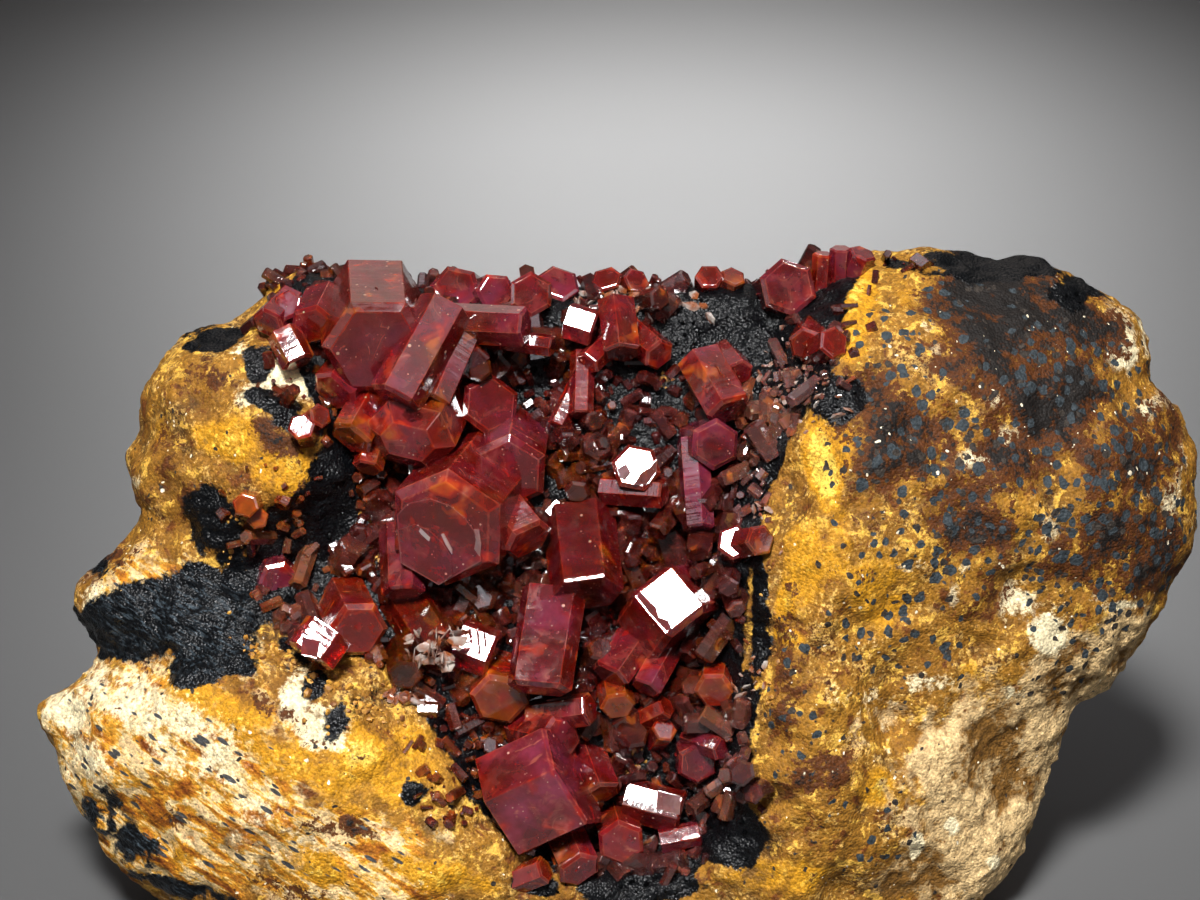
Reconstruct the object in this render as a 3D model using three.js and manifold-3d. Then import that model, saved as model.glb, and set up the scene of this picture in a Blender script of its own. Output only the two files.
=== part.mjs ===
// Vanadinite on matrix: red hexagonal crystals in a dark vug of a limonite rock.
//
// Everything is laid out on the crystal face: x runs to the right, y up the face and z straight out
// of it, in millimetres. The finished group is then stood up on the rock's trimmed base, with the
// crystal face leaning back, +Z up and the face looking towards -Y.
import * as THREE from 'three';
import { ConvexGeometry } from 'three/addons/geometries/ConvexGeometry.js';
import { ImprovedNoise } from 'three/addons/math/ImprovedNoise.js';
import { mergeVertices } from 'three/addons/utils/BufferGeometryUtils.js';
import Module from 'manifold-3d';

const wasm = await Module();
wasm.setup();

// ---- driving dimensions ----
const LEAN = THREE.MathUtils.degToRad(20); // the crystal face leans back from upright
const GAP = 0.3; // clearance between solids that touch
const RIM_DEPTH = -6; // z of the rock's outline
const FRONT_RISE = 15; // how far the front bulges out from the outline
const BACK_RISE = 24; // how far the back bulges out from the outline
const BASE_DROP = 5; // distance from the face origin down to the trimmed base
const VUG_DEPTH = 6.5; // depth of the crystal-lined hollow
const VUG_WALL = 6; // width over which its wall falls
const DRUSE_HEIGHT = 2; // the small crystals' tips above the vug floor
const FRONT_SPACING = 3.8; // distance between the rock's corners on the front
const RIM_SPACING = 2.4; // the same near the outline
const BACK_SPACING = 6.4; // the same on the back
const RIDGE_Y = 50; // above this height crystals grow over the top of the rock
const TIP_BEVEL = 0.075; // width of a crystal's pyramid faces, as a share of its width
const BEVEL_SLOPE = 0.8; // how far a pyramid face runs down the prism for each unit across

// ---- the rock ----
const ROCK_CENTRE = new THREE.Vector2(1, 26);
const ROCK_RADIUS = 42; // mean radius of the outline below

// Outline of the rock seen square to the crystal face, clockwise from the lower left.
const ROCK_OUTLINE = [
  [-41.4, -0.4], [-45, 3.2], [-48.3, 8.3], [-49.9, 12.4], [-52.1, 16.5], [-49.6, 18.8], [-45.6, 21.6],
  [-47, 23.6], [-49.1, 26.7], [-47.6, 29.2], [-43.9, 31.8], [-41.9, 34.5], [-41.5, 36.5], [-43.8, 39],
  [-42.3, 42.5], [-42.5, 45.1], [-40.5, 48.6], [-38, 51.2], [-33.3, 52.3], [-31.3, 54.3], [-28.8, 56.5],
  [-24.5, 56.7], [-16.4, 54.9], [-3.7, 55.3], [9.2, 55.1], [18.4, 56.3], [24.8, 58.4], [30.9, 59],
  [37.6, 57.6], [41.5, 57.9], [46, 55.1], [49.4, 53.3], [50.9, 49.2], [50.5, 46.3], [53.1, 44.7],
  [54.6, 40], [55, 34.3], [53.1, 28.7], [51.4, 25.5], [48.2, 20.1], [43.7, 15.5], [41.5, 11.6],
  [40.1, 6.1], [37.3, 1.4], [34.2, -1.9], [27.6, -6.6], [14.8, -10.1], [0, -11.1], [-16.4, -10.1],
  [-31.2, -6.6],
];

// Rim of the vug, clockwise from the upper left; it runs off the top of the rock.
const VUG_RIM = [
  [-28.4, 60], [-29.7, 51.3], [-27, 45], [-25.4, 40], [-30.6, 36.6], [-33, 31], [-31.5, 26],
  [-27, 22.4], [-19.8, 19.6], [-16.2, 15.2], [-14, 10], [-9, 4.6], [-3.6, 0.8], [3.6, -0.4],
  [9, 1], [13, 5.4], [15, 11.7], [14.4, 18], [14, 23.4], [15, 30.6], [17, 37], [18.6, 42.3],
  [21.6, 46], [22.6, 50.4], [23.6, 54], [27, 60],
];

// Broad swells (rise above 0) and dents (below 0) of the front, each an oval. A higher sharpness
// makes it flat-topped with steep flanks.
const FRONT_RELIEF = [
  { at: [34, 42], reach: [17, 14], rise: 2.6, sharpness: 2 }, // shoulder of the right-hand mass
  { at: [23.6, 50], reach: [4.6, 8], rise: 1.8, sharpness: 2 }, // ridge along the vug's right wall
  { at: [21.6, 38], reach: [4.6, 9], rise: 2.6, sharpness: 2 },
  { at: [18.6, 24], reach: [4.4, 10], rise: 2.8, sharpness: 2 },
  { at: [18.4, 9], reach: [5, 9], rise: 2, sharpness: 2 },
  { at: [44, 51], reach: [7, 6], rise: -1.6, sharpness: 2 },
  { at: [-34, 5], reach: [20, 17], rise: 5, sharpness: 4 }, // swelling of the lower-left mass
  { at: [-12, -2], reach: [12, 8], rise: 2.6, sharpness: 2 },
  { at: [-37, 27], reach: [13, 4.4], rise: -2.4, sharpness: 2 }, // black shelf above it
  { at: [-34, 45], reach: [9, 9], rise: 1.6, sharpness: 4 }, // upper-left mass
  { at: [-27, 55], reach: [5, 4], rise: 1.6, sharpness: 2 },
  { at: [-9, 44], reach: [6, 6], rise: -2.2, sharpness: 2 }, // deep pockets of the vug
  { at: [2, 27], reach: [8, 6], rise: -2, sharpness: 2 },
  { at: [10, 51], reach: [7, 4], rise: -1.5, sharpness: 2 },
];

// The broken lower-right facet: the front falls away beyond a line through `at`.
const LOWER_RIGHT_FACET = { at: new THREE.Vector2(27, 6), away: new THREE.Vector2(0.74, -0.67), slope: 0.55 };

const noise = new ImprovedNoise();

// A smooth lump pattern with its own wavelength, between about -1 and 1.
const lumps = (x, y, z, wavelength) => noise.noise(x / wavelength, y / wavelength, z / wavelength) * 1.6;

const vugRim = new THREE.CatmullRomCurve3(
  VUG_RIM.map(([x, y]) => new THREE.Vector3(x, y, 0)), true, 'centripetal',
).getPoints(160).map((p) => new THREE.Vector2(p.x, p.y));

// Distance from a point to the vug's rim, positive inside the vug.
function insideVug(x, y) {
  const point = new THREE.Vector3(x, y, 0);
  const nearest = new THREE.Vector3();
  const edge = new THREE.Line3();
  let inside = false;
  let distance = Infinity;
  vugRim.forEach((a, i) => {
    const b = vugRim[(i + 1) % vugRim.length];
    edge.start.set(a.x, a.y, 0);
    edge.end.set(b.x, b.y, 0);
    edge.closestPointToPoint(point, true, nearest);
    distance = Math.min(distance, nearest.distanceTo(point));
    const crosses = a.y > y !== b.y > y;
    if (crosses && x < a.x + ((y - a.y) * (b.x - a.x)) / (b.y - a.y)) inside = !inside;
  });
  return inside ? distance : -distance;
}

// Rise of the front surface above its plain dome.
function relief(x, y) {
  let rise = -VUG_DEPTH * THREE.MathUtils.smoothstep(insideVug(x, y), -0.6, VUG_WALL);
  for (const { at, reach, rise: height, sharpness } of FRONT_RELIEF) {
    const far = Math.hypot((x - at[0]) / reach[0], (y - at[1]) / reach[1]);
    rise += height * Math.exp(-(far ** sharpness));
  }
  const { at, away, slope } = LOWER_RIGHT_FACET;
  return rise - slope * Math.max(0, (x - at.x) * away.x + (y - at.y) * away.y);
}

const outlineByAngle = new THREE.CatmullRomCurve3(
  ROCK_OUTLINE.map(([x, y]) => new THREE.Vector3(x - ROCK_CENTRE.x, y - ROCK_CENTRE.y, 0)),
  true,
  'centripetal',
).getPoints(900).map((p) => ({ angle: Math.atan2(p.y, p.x), radius: Math.hypot(p.x, p.y) }))
  .sort((a, b) => a.angle - b.angle);

// Radius of the rock's outline in a direction from its centre.
function outlineRadius(angle) {
  const turn = Math.atan2(Math.sin(angle), Math.cos(angle));
  const above = outlineByAngle.findIndex((p) => p.angle >= turn);
  const b = outlineByAngle[above < 0 ? 0 : above];
  const a = outlineByAngle.at(above < 1 ? -1 : above - 1);
  const step = THREE.MathUtils.euclideanModulo(b.angle - a.angle, 2 * Math.PI) || 1;
  const share = THREE.MathUtils.euclideanModulo(turn - a.angle, 2 * Math.PI) / step;
  return THREE.MathUtils.lerp(a.radius, b.radius, THREE.MathUtils.clamp(share, 0, 1));
}

// Height of the rock's surface over a point of the face; share is the point's distance from the
// centre as a share of the outline's radius there.
function surfaceZ(x, y, share, front) {
  const dome = Math.sqrt(Math.max(0, 1 - share ** 2.6));
  const rim = 1 - share ** 5;
  if (front) {
    const broken = 0.9 * lumps(x, y, 3, 11) + 0.6 * lumps(x, y, 9, 5.4);
    return RIM_DEPTH + FRONT_RISE * dome + (relief(x, y) + broken) * rim;
  }
  const broken = 2.6 * lumps(x, y, 20, 17) + 1.1 * lumps(x, y, 31, 7);
  return RIM_DEPTH - BACK_RISE * dome + broken * rim;
}

function frontZ(x, y) {
  const dx = x - ROCK_CENTRE.x;
  const dy = y - ROCK_CENTRE.y;
  const share = Math.hypot(dx, dy) / outlineRadius(Math.atan2(dy, dx));
  return surfaceZ(x, y, Math.min(share, 1), true);
}

// One ring of the rock: its points, evenly spread round a scaled copy of the outline.
function rockRing(share, front, spacing) {
  const { x: cx, y: cy } = ROCK_CENTRE;
  if (share === 0) return [new THREE.Vector3(cx, cy, surfaceZ(cx, cy, 0, front))];
  const count = Math.max(6, Math.round((2 * Math.PI * ROCK_RADIUS * share) / spacing));
  return Array.from({ length: count }, (_, i) => {
    const angle = (2 * Math.PI * i) / count;
    const radius = outlineRadius(angle) * share;
    const x = cx + radius * Math.cos(angle);
    const y = cy + radius * Math.sin(angle);
    return new THREE.Vector3(x, y, surfaceZ(x, y, share, front));
  });
}

// Joins two rings whose point counts differ, always stepping along the ring that lags behind.
function stitch(faces, outer, inner, outerStart, innerStart) {
  let i = 0;
  let j = 0;
  const last = inner.length === 1 ? 0 : inner.length;
  while (i < outer.length || j < last) {
    const a = outerStart + (i % outer.length);
    const b = innerStart + (j % inner.length);
    if (j >= last || (i < outer.length && (i + 1) / outer.length <= (j + 1) / inner.length)) {
      faces.push(a, outerStart + ((i + 1) % outer.length), b);
      i += 1;
    } else {
      faces.push(a, innerStart + ((j + 1) % inner.length), b);
      j += 1;
    }
  }
}

// The whole rock before its base is trimmed: rings from the middle of the front over the outline
// to the middle of the back.
function rockGeometry() {
  const FRONT_RINGS = 14;
  const BACK_RINGS = 8;
  const NEAR_RIM = 0.88; // rings beyond this share of the outline take the rim's finer spacing
  const rings = [];
  for (let i = 0; i <= FRONT_RINGS; i += 1) {
    const share = Math.sin((Math.PI / 2) * (i / FRONT_RINGS) ** 0.92);
    rings.push(rockRing(share, true, share < NEAR_RIM ? FRONT_SPACING : RIM_SPACING));
  }
  for (let i = BACK_RINGS - 1; i >= 0; i -= 1) {
    const share = Math.sin((Math.PI / 2) * (i / BACK_RINGS));
    rings.push(rockRing(share, false, i === BACK_RINGS - 1 ? FRONT_SPACING : BACK_SPACING));
  }
  const starts = [];
  const positions = [];
  for (const ring of rings) {
    starts.push(positions.length / 3);
    for (const p of ring) positions.push(p.x, p.y, p.z);
  }
  const faces = [];
  for (let k = 0; k + 1 < rings.length; k += 1) {
    if (k < FRONT_RINGS) {
      stitch(faces, rings[k + 1], rings[k], starts[k + 1], starts[k]);
    } else {
      const seenFromFront = [];
      stitch(seenFromFront, rings[k], rings[k + 1], starts[k], starts[k + 1]);
      faces.push(...seenFromFront.reverse());
    }
  }
  const geometry = new THREE.BufferGeometry();
  geometry.setAttribute('position', new THREE.Float32BufferAttribute(positions, 3));
  geometry.setIndex(faces);
  return geometry;
}

// ---- solids ----
function solidOf(geometry) {
  const bare = geometry.clone();
  for (const name of Object.keys(bare.attributes)) if (name !== 'position') bare.deleteAttribute(name);
  const merged = mergeVertices(bare, 1e-4);
  return new wasm.Manifold(new wasm.Mesh({
    numProp: 3,
    vertProperties: new Float32Array(merged.attributes.position.array),
    triVerts: new Uint32Array(merged.index.array),
  }));
}

function geometryOf(solid) {
  const { vertProperties, triVerts } = solid.getMesh();
  const geometry = new THREE.BufferGeometry();
  geometry.setAttribute('position', new THREE.BufferAttribute(new Float32Array(vertProperties), 3));
  geometry.setIndex(new THREE.BufferAttribute(new Uint32Array(triVerts), 1));
  return geometry;
}

// The piece of a cut solid that is worth keeping.
function largest(solid) {
  return solid.decompose().reduce((best, piece) => (piece.volume() > best.volume() ? piece : best));
}

// Everything below the trimmed base, as a box turned with the base.
function belowBase() {
  const SIDE = 300;
  const box = new THREE.BoxGeometry(SIDE, SIDE, SIDE);
  box.translate(0, -SIDE / 2 - BASE_DROP, 0);
  box.rotateX(LEAN);
  return solidOf(box);
}

// Everything behind the rock's rim, where no crystals grow.
function behindRim() {
  const SIDE = 300;
  const box = new THREE.BoxGeometry(SIDE, SIDE, SIDE);
  box.translate(0, 0, RIM_DEPTH + 1 - SIDE / 2);
  return solidOf(box);
}

// ---- crystals ----

// Where the light-catching faces look: they lie nearly parallel, and their crystals are turned to suit.
const FLASH = [-0.04, 0.28, 0.96];

// A repeatable small variation between -1 and 1 for the nth face of a crystal.
const vary = (at, n) => Math.sin(at[0] * 12.9898 + at[1] * 78.233 + n * 37.719);

// Corners of a slightly uneven hexagon whose faces keep their 60 degree angles. `wide` is measured
// corner to corner along x and `thick` face to face along y.
function hexagon(at, wide, thick, inset) {
  const UNEVEN = 0.035;
  const sideOffset = (wide * Math.sqrt(3)) / 4;
  const offsets = [0, 1, 2, 3, 4, 5].map((n) => {
    const plain = n % 3 === 0 ? thick / 2 : sideOffset;
    return plain * (1 + UNEVEN * vary(at, n)) - inset;
  });
  return offsets.map((offset, n) => {
    const next = offsets[(n + 1) % 6];
    const angle = Math.PI / 2 + (n * Math.PI) / 3;
    const along = (next - offset * Math.cos(Math.PI / 3)) / Math.sin(Math.PI / 3);
    return new THREE.Vector2(
      offset * Math.cos(angle) - along * Math.sin(angle),
      offset * Math.sin(angle) + along * Math.cos(angle),
    );
  });
}

// One hexagonal prism with narrow pyramid faces round its free end, or round both ends where it lies
// across the vug. Its free end's middle is over `at` on the face, `lift` above the rock; `axis` points
// out of that end and `face` towards the side that one prism face looks to.
function crystalGeometry(crystal) {
  const { at, lift, size, axis, face, bevel = TIP_BEVEL, ends = 1, grow = 0 } = crystal;
  const [wide, thick, long] = size;
  const c = new THREE.Vector3(...axis).normalize();
  const f = new THREE.Vector3(...face).normalize();
  if (face === FLASH) c.addScaledVector(f, -c.dot(f)).normalize();
  else f.addScaledVector(c, -f.dot(c)).normalize();
  const toSide = new THREE.Vector3().crossVectors(f, c);
  const tip = new THREE.Vector3(at[0], at[1], frontZ(...at) + lift);
  const cut = bevel * wide;
  const rings = [[grow, cut], [-long - grow, ends === 2 ? cut : 0]];
  if (cut > 0) rings.push([-cut * BEVEL_SLOPE, 0]);
  if (ends === 2) rings.push([-long + cut * BEVEL_SLOPE, 0]);
  const place = (p, along) => tip.clone()
    .addScaledVector(toSide, p.x)
    .addScaledVector(f, p.y)
    .addScaledVector(c, along);
  return new ConvexGeometry(rings.flatMap(
    ([along, inset]) => hexagon(at, wide, thick, inset - grow).map((p) => place(p, along)),
  ));
}

// The plain prism that keeps other solids clear of a crystal.
const clearance = (crystal) => solidOf(crystalGeometry({ ...crystal, bevel: 0, ends: 1, grow: GAP }));

function prism(at, lift, size, axis, face = [0, 0.25, 0.97], extra = {}) {
  return { at, lift, size, axis, face, ...extra };
}


// Every crystal large enough to be its own piece. A name with several entries is an intergrowth,
// joined into one solid. Each line: place, lift, [wide, thick, long], axis, face.
const CRYSTALS = {
  block_crystal_top_left: [
    prism([-19.8, 49.4], 7, [9.6, 8.4, 10], [0.03, -0.42, 0.9], [0, 1, 0.3]),
  ],
  crystals_left_of_block: [
    prism([-25.8, 51.6], 3.4, [4.2, 3.4, 5], [-0.15, -0.45, 0.88], [-0.3, 0.8, 0.3]),
    prism([-26.9, 48.2], 2, [3.2, 2.7, 5], [0.44, -0.84, 0.3], FLASH),
  ],
  crystal_pair_left_rim: [
    prism([-29.9, 51.8], 2, [3.2, 2.7, 4], [-0.4, -0.5, 0.75], [0.2, 0.7, 0.6]),
    prism([-28.2, 53.6], 2.4, [3, 2.6, 4], [-0.25, 0.3, 0.9], [0.4, 0.8, 0.3]),
  ],
  flash_crystal_left: [
    prism([-26.4, 42.6], 2.6, [2.6, 2.2, 4], FLASH, [0.7, 0.7, 0]),
    prism([-24.8, 43.6], 2, [2.4, 2, 3.2], [0.5, 0.3, 0.8]),
  ],
  crystal_under_block: [
    prism([-23.8, 45.6], 3, [4.8, 3.6, 5.4], [-0.45, -0.6, 0.66], [0.5, 0.5, 0.7]),
  ],
  crystal_cluster_left_of_tablet: [
    prism([-22.2, 41.4], 3, [4.4, 3.2, 6], [-0.35, -0.7, 0.6], [0.6, 0.4, 0.6]),
    prism([-20.8, 38.8], 2.6, [2.8, 2.3, 4.6], [-0.2, -0.85, 0.5]),
  ],
  long_prism: [
    prism([-18.2, 44.9], 7, [5, 4, 9.5], [-0.44, -0.83, 0.3], [0.12, 0.2, 0.97]),
    prism([-14.9, 44.7], 5.6, [3.6, 3.2, 7], [-0.36, -0.86, 0.34], [0.55, 0.2, 0.8]),
  ],
  bar_crystal_top: [
    prism([-6.6, 51.5], 5.4, [3.8, 3.4, 7.6], [0.96, -0.06, 0.3], [0, 0.12, 0.99]),
    prism([-4.2, 49.8], 4.2, [2, 1.8, 8], [0.95, -0.14, 0.28]),
  ],
  bevelled_tablet: [
    prism([-17.1, 41.2], 6.6, [8.6, 6.4, 7.5], [-0.2, -0.5, 0.84], [0.15, 0.85, 0.5], { bevel: 0.17 }),
  ],
  great_hexagon: [
    prism([-13.7, 33.4], 7.6, [11.4, 9.9, 10.5], [-0.27, -0.36, 0.89], [0.55, 0.8, 0.4]),
  ],
  crystal_behind_great_hexagon: [
    prism([-8.2, 38.4], 4.8, [7.2, 6.2, 7], [-0.05, -0.38, 0.92], [0.55, 0.8, 0.3]),
  ],
  crystal_right_of_great_hexagon: [
    prism([-6.3, 32.4], 4.2, [4.8, 3.6, 7], [0.5, -0.6, 0.62], [-0.1, 0.75, 0.65]),
  ],
  square_crystal_below_hexagon: [
    prism([-17.5, 27.6], 5, [4, 3.3, 6], [0.06, -0.9, 0.44], [-0.08, 0.3, 0.95]),
  ],
  red_twins_lower_left: [
    prism([-25.6, 22.2], 1.9, [4.8, 3.8, 4.6], [-0.56, -0.8, 0.2], FLASH),
    prism([-21.4, 24.5], 5, [5.8, 4.8, 7], [0.22, -0.3, 0.93], [-0.8, 0.5, 0.2]),
  ],
  clear_crystal_lower_left: [
    prism([-14.2, 22.2], 4, [4.8, 3.7, 6.8], [0.48, -0.72, 0.5], [-0.15, 0.55, 0.8]),
  ],
  pale_crystal_lower_left: [
    prism([-17.2, 20.5], 2.6, [3.4, 2.8, 4.4], [0.1, -0.45, 0.88], [0.2, 0.8, 0.4]),
  ],
  kite_crystal_left: [
    prism([-28.6, 28.5], 3, [4.6, 3.3, 5], [0.16, -0.3, 0.94], [0.75, 0.6, 0.1]),
  ],
  small_prisms_far_left: [
    prism([-31.4, 35.6], 1.8, [2.4, 2, 3.2], [-0.1, -0.1, 0.98]),
    prism([-30.4, 34.5], 1.7, [2.2, 1.8, 2.8], [0.2, 0.2, 0.95]),
  ],
  block_crystal_centre: [
    prism([-1.1, 27.7], 6.2, [6.8, 5.2, 7.8], [0.1, -0.84, 0.54], [-0.1, 0.46, 0.88]),
  ],
  great_flash_crystal: [
    prism([7.9, 24.1], 4, [8.4, 7.4, 5.4], [0.62, -0.74, 0.25], FLASH, { ends: 2 }),
  ],
  post_crystal_centre: [
    prism([-5.4, 19.2], 5.6, [6, 3.2, 9], [-0.14, -0.92, 0.36], [-0.14, 0.3, 0.94]),
  ],
  flash_prism_centre_left: [
    prism([-9.4, 22.2], 2.6, [4.2, 3.7, 4.4], [0.93, -0.34, 0.14], FLASH),
  ],
  great_barrel_bottom: [
    prism([-2.3, 11.8], 5.6, [10.4, 7.8, 6.6], [0.86, 0.42, 0.26], [0.22, -0.26, 0.94], { bevel: 0.03 }),
    prism([-3.4, 14.8], 4.6, [4.6, 3.8, 5], [0.62, -0.1, 0.78], [0.4, 0.8, 0.3]),
  ],
  bar_crystal_above_barrel: [
    prism([-0.8, 17.5], 3.2, [3, 2.7, 5.4], [0.9, 0.16, 0.4], [-0.1, 0.3, 0.95]),
  ],
  hexagon_lower_left: [
    prism([-9, 18.2], 4, [5.4, 4.6, 6.4], [-0.05, -0.42, 0.9], [0.15, 0.8, 0.55]),
  ],
  crystal_right_of_barrel: [
    prism([0.3, 9.8], 3.6, [3.7, 2.8, 5.6], [0.3, -0.76, 0.58], [0.5, 0.3, 0.8]),
  ],
  prism_pair_under_flash: [
    prism([0.8, 20.3], 3.4, [3.9, 3, 6.6], [-0.52, -0.72, 0.44], [-0.3, 0.3, 0.9]),
    prism([4, 19.2], 2.8, [3, 2.4, 4.6], [-0.44, -0.76, 0.46], [-0.3, 0.3, 0.9]),
  ],
  orange_crystal_centre: [
    prism([1.6, 17.6], 2.4, [3.2, 2.6, 4], [0.1, -0.5, 0.86]),
  ],
  small_prism_centre_right: [
    prism([6, 17.6], 2, [2.3, 2, 4], [0.74, 0.4, 0.5]),
    prism([5.8, 15.6], 2, [2.4, 2, 3.4], [0.3, 0.4, 0.86]),
  ],
  rounded_crystal_lower_right: [
    prism([10.2, 19], 3.4, [4, 3.3, 5], [-0.1, -0.42, 0.9], [0.8, 0.5, 0.2]),
  ],
  prisms_lower_right: [
    prism([11, 13.9], 2.4, [2.6, 2.2, 4], [0.66, -0.2, 0.7]),
    prism([8.8, 12.4], 2.8, [4.2, 3.6, 4.4], [0.1, -0.3, 0.95], [0.5, 0.8, 0.1]),
  ],
  bright_crystals_bottom_right: [
    prism([7.4, 7.9], 2.2, [4.2, 3.7, 4.8], [0.93, -0.22, 0.2], FLASH),
    prism([9, 6.2], 1.8, [2.4, 2.1, 3.2], [0.9, 0.26, 0.24], FLASH),
  ],
  hexagon_bottom: [
    prism([1.9, 5.4], 3.6, [4.4, 3.7, 5.4], [0.1, -0.28, 0.95], [0.4, 0.9, 0.1]),
  ],
  crystal_bottom_edge: [
    prism([-1.8, 3.2], 3, [4, 3.1, 4.6], [0.3, -0.56, 0.78], [-0.5, 0.6, 0.6]),
  ],
  bar_crystal_bottom_left: [
    prism([-4.8, 3.4], 2.2, [2.6, 2.2, 4.8], [0.82, 0.36, 0.44]),
  ],
  violet_hexagon_right: [
    prism([10.3, 41], 4.4, [4.9, 4.3, 6], [0.26, -0.04, 0.96], [-0.95, 0.05, 0.3]),
    prism([8.8, 33.4], 3.8, [2.9, 2.5, 8], [0.06, -0.94, 0.34], [-0.06, 0.26, 0.96]),
  ],
  flash_crystals_upper_centre: [
    prism([3.2, 39], 4.2, [4.4, 3.8, 5], FLASH, [0.9, 0.3, 0]),
    prism([5.8, 36.6], 3.2, [2.9, 2.7, 5.4], [0.93, -0.06, 0.36]),
  ],
  flash_crystals_right_rim: [
    prism([11.9, 32.4], 3.2, [3.3, 2.8, 4.4], FLASH, [0.6, 0.8, 0]),
    prism([14.1, 32.6], 2.2, [2.9, 2.5, 4], [0.4, 0.1, 0.9]),
  ],
  bright_red_prisms_right: [
    prism([11.6, 43.9], 4, [4.7, 3.7, 5.8], [0.42, -0.76, 0.5], [0.36, 0.3, 0.88]),
    prism([12.6, 47.4], 2.8, [2.6, 2.2, 4.4], [0.3, -0.4, 0.85]),
  ],
  prism_pair_upper_centre: [
    prism([2, 49.1], 3.8, [3.8, 3, 4.8], [0.1, -0.88, 0.46], [0.45, 0.2, 0.87]),
    prism([-0.4, 51.4], 3.4, [3.4, 2.9, 3.6], [0.95, -0.3, 0.1], FLASH),
  ],
  red_cube_upper_centre: [
    prism([5.4, 49], 2.8, [3.1, 2.6, 4], [0.5, -0.46, 0.73]),
  ],
  curved_stack_upper_centre: [
    prism([-1.2, 48.2], 3.6, [2.6, 2.1, 4], [-0.56, -0.56, 0.6]),
    prism([-1.7, 43.6], 3, [2.2, 1.9, 5.6], [-0.02, -0.92, 0.38]),
    prism([-3.9, 42.6], 2.6, [1.8, 1.6, 6], [-0.42, -0.85, 0.3]),
  ],
  round_crystal_top_right: [
    prism([17, 55.2], 4, [5.4, 4.6, 6], [0.1, 0.08, 0.98], [0.3, 0.9, 0]),
  ],
  upright_blades_top_right: [
    prism([20.2, 58.3], 6, [2, 1.7, 5.6], [0.05, 0.93, 0.36]),
    prism([21.8, 58.8], 6, [2, 1.8, 6], [0.02, 0.93, 0.36]),
    prism([23.8, 58.4], 6, [2.6, 2.2, 6], [0.3, 0.8, 0.5]),
  ],
  red_cluster_right_rim: [
    prism([18.4, 49.8], 3.4, [3.4, 2.8, 4.4], [-0.2, -0.3, 0.93]),
    prism([20.7, 50], 2.6, [3, 2.5, 4], [0.35, 0.2, 0.9]),
  ],
  dark_ridge_crystals: [
    prism([-13.2, 55], 4, [5, 4.2, 6.5], [-0.15, 0.1, 0.98], [0.2, 0.95, 0.1]),
    prism([-9.4, 54.8], 4, [3.8, 3.2, 6], [0.22, 0.05, 0.97], [0.1, 0.95, 0.1]),
  ],
  ridge_hexagons_top_centre: [
    prism([-6.2, 54.6], 4, [4.2, 3.6, 5.5], [0.1, 0.06, 0.99], [0.5, 0.85, 0]),
    prism([-3.8, 55.8], 3.2, [4.2, 3.4, 5.5], [0.1, 0.5, 0.85]),
  ],
  ridge_crystals_top: [
    prism([0.6, 56.2], 3, [3, 2.4, 4.4], [-0.1, 0.55, 0.82]),
    prism([3.4, 56], 2.8, [2.6, 2.2, 4], [0.4, 0.4, 0.82]),
  ],
  ridge_crystals_top_right: [
    prism([10, 56.4], 2.8, [2.8, 2.4, 4], [0, 0.5, 0.86]),
    prism([12.2, 56.4], 2.6, [2.4, 2, 3.6], [0.2, 0.6, 0.76]),
  ],
  deep_crystal_centre: [
    prism([-9.8, 44.6], 4.2, [5.6, 4.8, 6], [0.26, 0.12, 0.95], [0.6, 0.8, 0]),
  ],
  clear_crystal_upper_centre: [
    prism([-11.4, 48.2], 4.4, [3.4, 2.9, 5.4], [0.2, -0.45, 0.86]),
  ],
};

// ---- beds of small crystals ----
// Each bed is an outline on the face, filled from the vug floor up to the small crystals' tips.
const DRUSE_BEDS = {
  druse_bed_ridge: [[1.6, 53.4], [3.8, 51.6], [9, 51.4], [11, 53.4], [8, 54.4]],
  druse_bed_right_rim: [[14.4, 41.8], [18.2, 41.6], [20.6, 45.6], [21.4, 48.6], [16, 48.8], [14.4, 45.4]],
  druse_bed_upper_centre: [[0.4, 47], [6, 47], [9, 43], [7, 41.2], [1, 41], [-0.2, 43.4]],
  druse_bed_centre_right: [
    [12.4, 40], [16.4, 39.4], [15.2, 33], [14.4, 27], [12, 26], [10.6, 29], [10.8, 36],
  ],
  druse_bed_left_ledge: [
    [-30, 36.6], [-32.4, 31], [-31, 26], [-28.4, 24.8], [-22.6, 28], [-20.4, 31], [-22.6, 38],
  ],
  druse_bed_lower_left: [[-14.6, 17], [-12, 15.6], [-9.6, 12], [-8.4, 5.6], [-12, 8.4], [-15.2, 13]],
  druse_bed_lower_right: [[10, 17], [13.4, 17.4], [13.8, 11], [12, 6.4], [10.4, 9.6], [11.4, 12.6]],
};

function bedSolid(outline, rock) {
  const shape = new THREE.Shape();
  shape.setFromPoints(new THREE.SplineCurve(
    [...outline, outline[0]].map(([x, y]) => new THREE.Vector2(x, y)),
  ).getPoints(outline.length * 2).slice(0, -1));
  const column = new THREE.ExtrudeGeometry(shape, { depth: 60, bevelEnabled: false, steps: 1 });
  column.translate(0, 0, -20);
  return rock.translate(0, 0, DRUSE_HEIGHT).intersect(solidOf(column)).subtract(rock.translate(0, 0, GAP));
}

// ---- assembly ----
const stone = new THREE.MeshStandardMaterial({ color: '#b07a2c', roughness: 0.85, metalness: 0 });
const vanadinite = new THREE.MeshStandardMaterial({ color: '#8c1c1c', roughness: 0.15, metalness: 0 });
const smallVanadinite = new THREE.MeshStandardMaterial({ color: '#7a241a', roughness: 0.3, metalness: 0 });

const face = new THREE.Group();
face.rotation.x = Math.PI / 2 - LEAN;

function addPiece(name, solid, material) {
  const mesh = new THREE.Mesh(geometryOf(solid), material);
  mesh.name = name;
  face.add(mesh);
}

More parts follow.
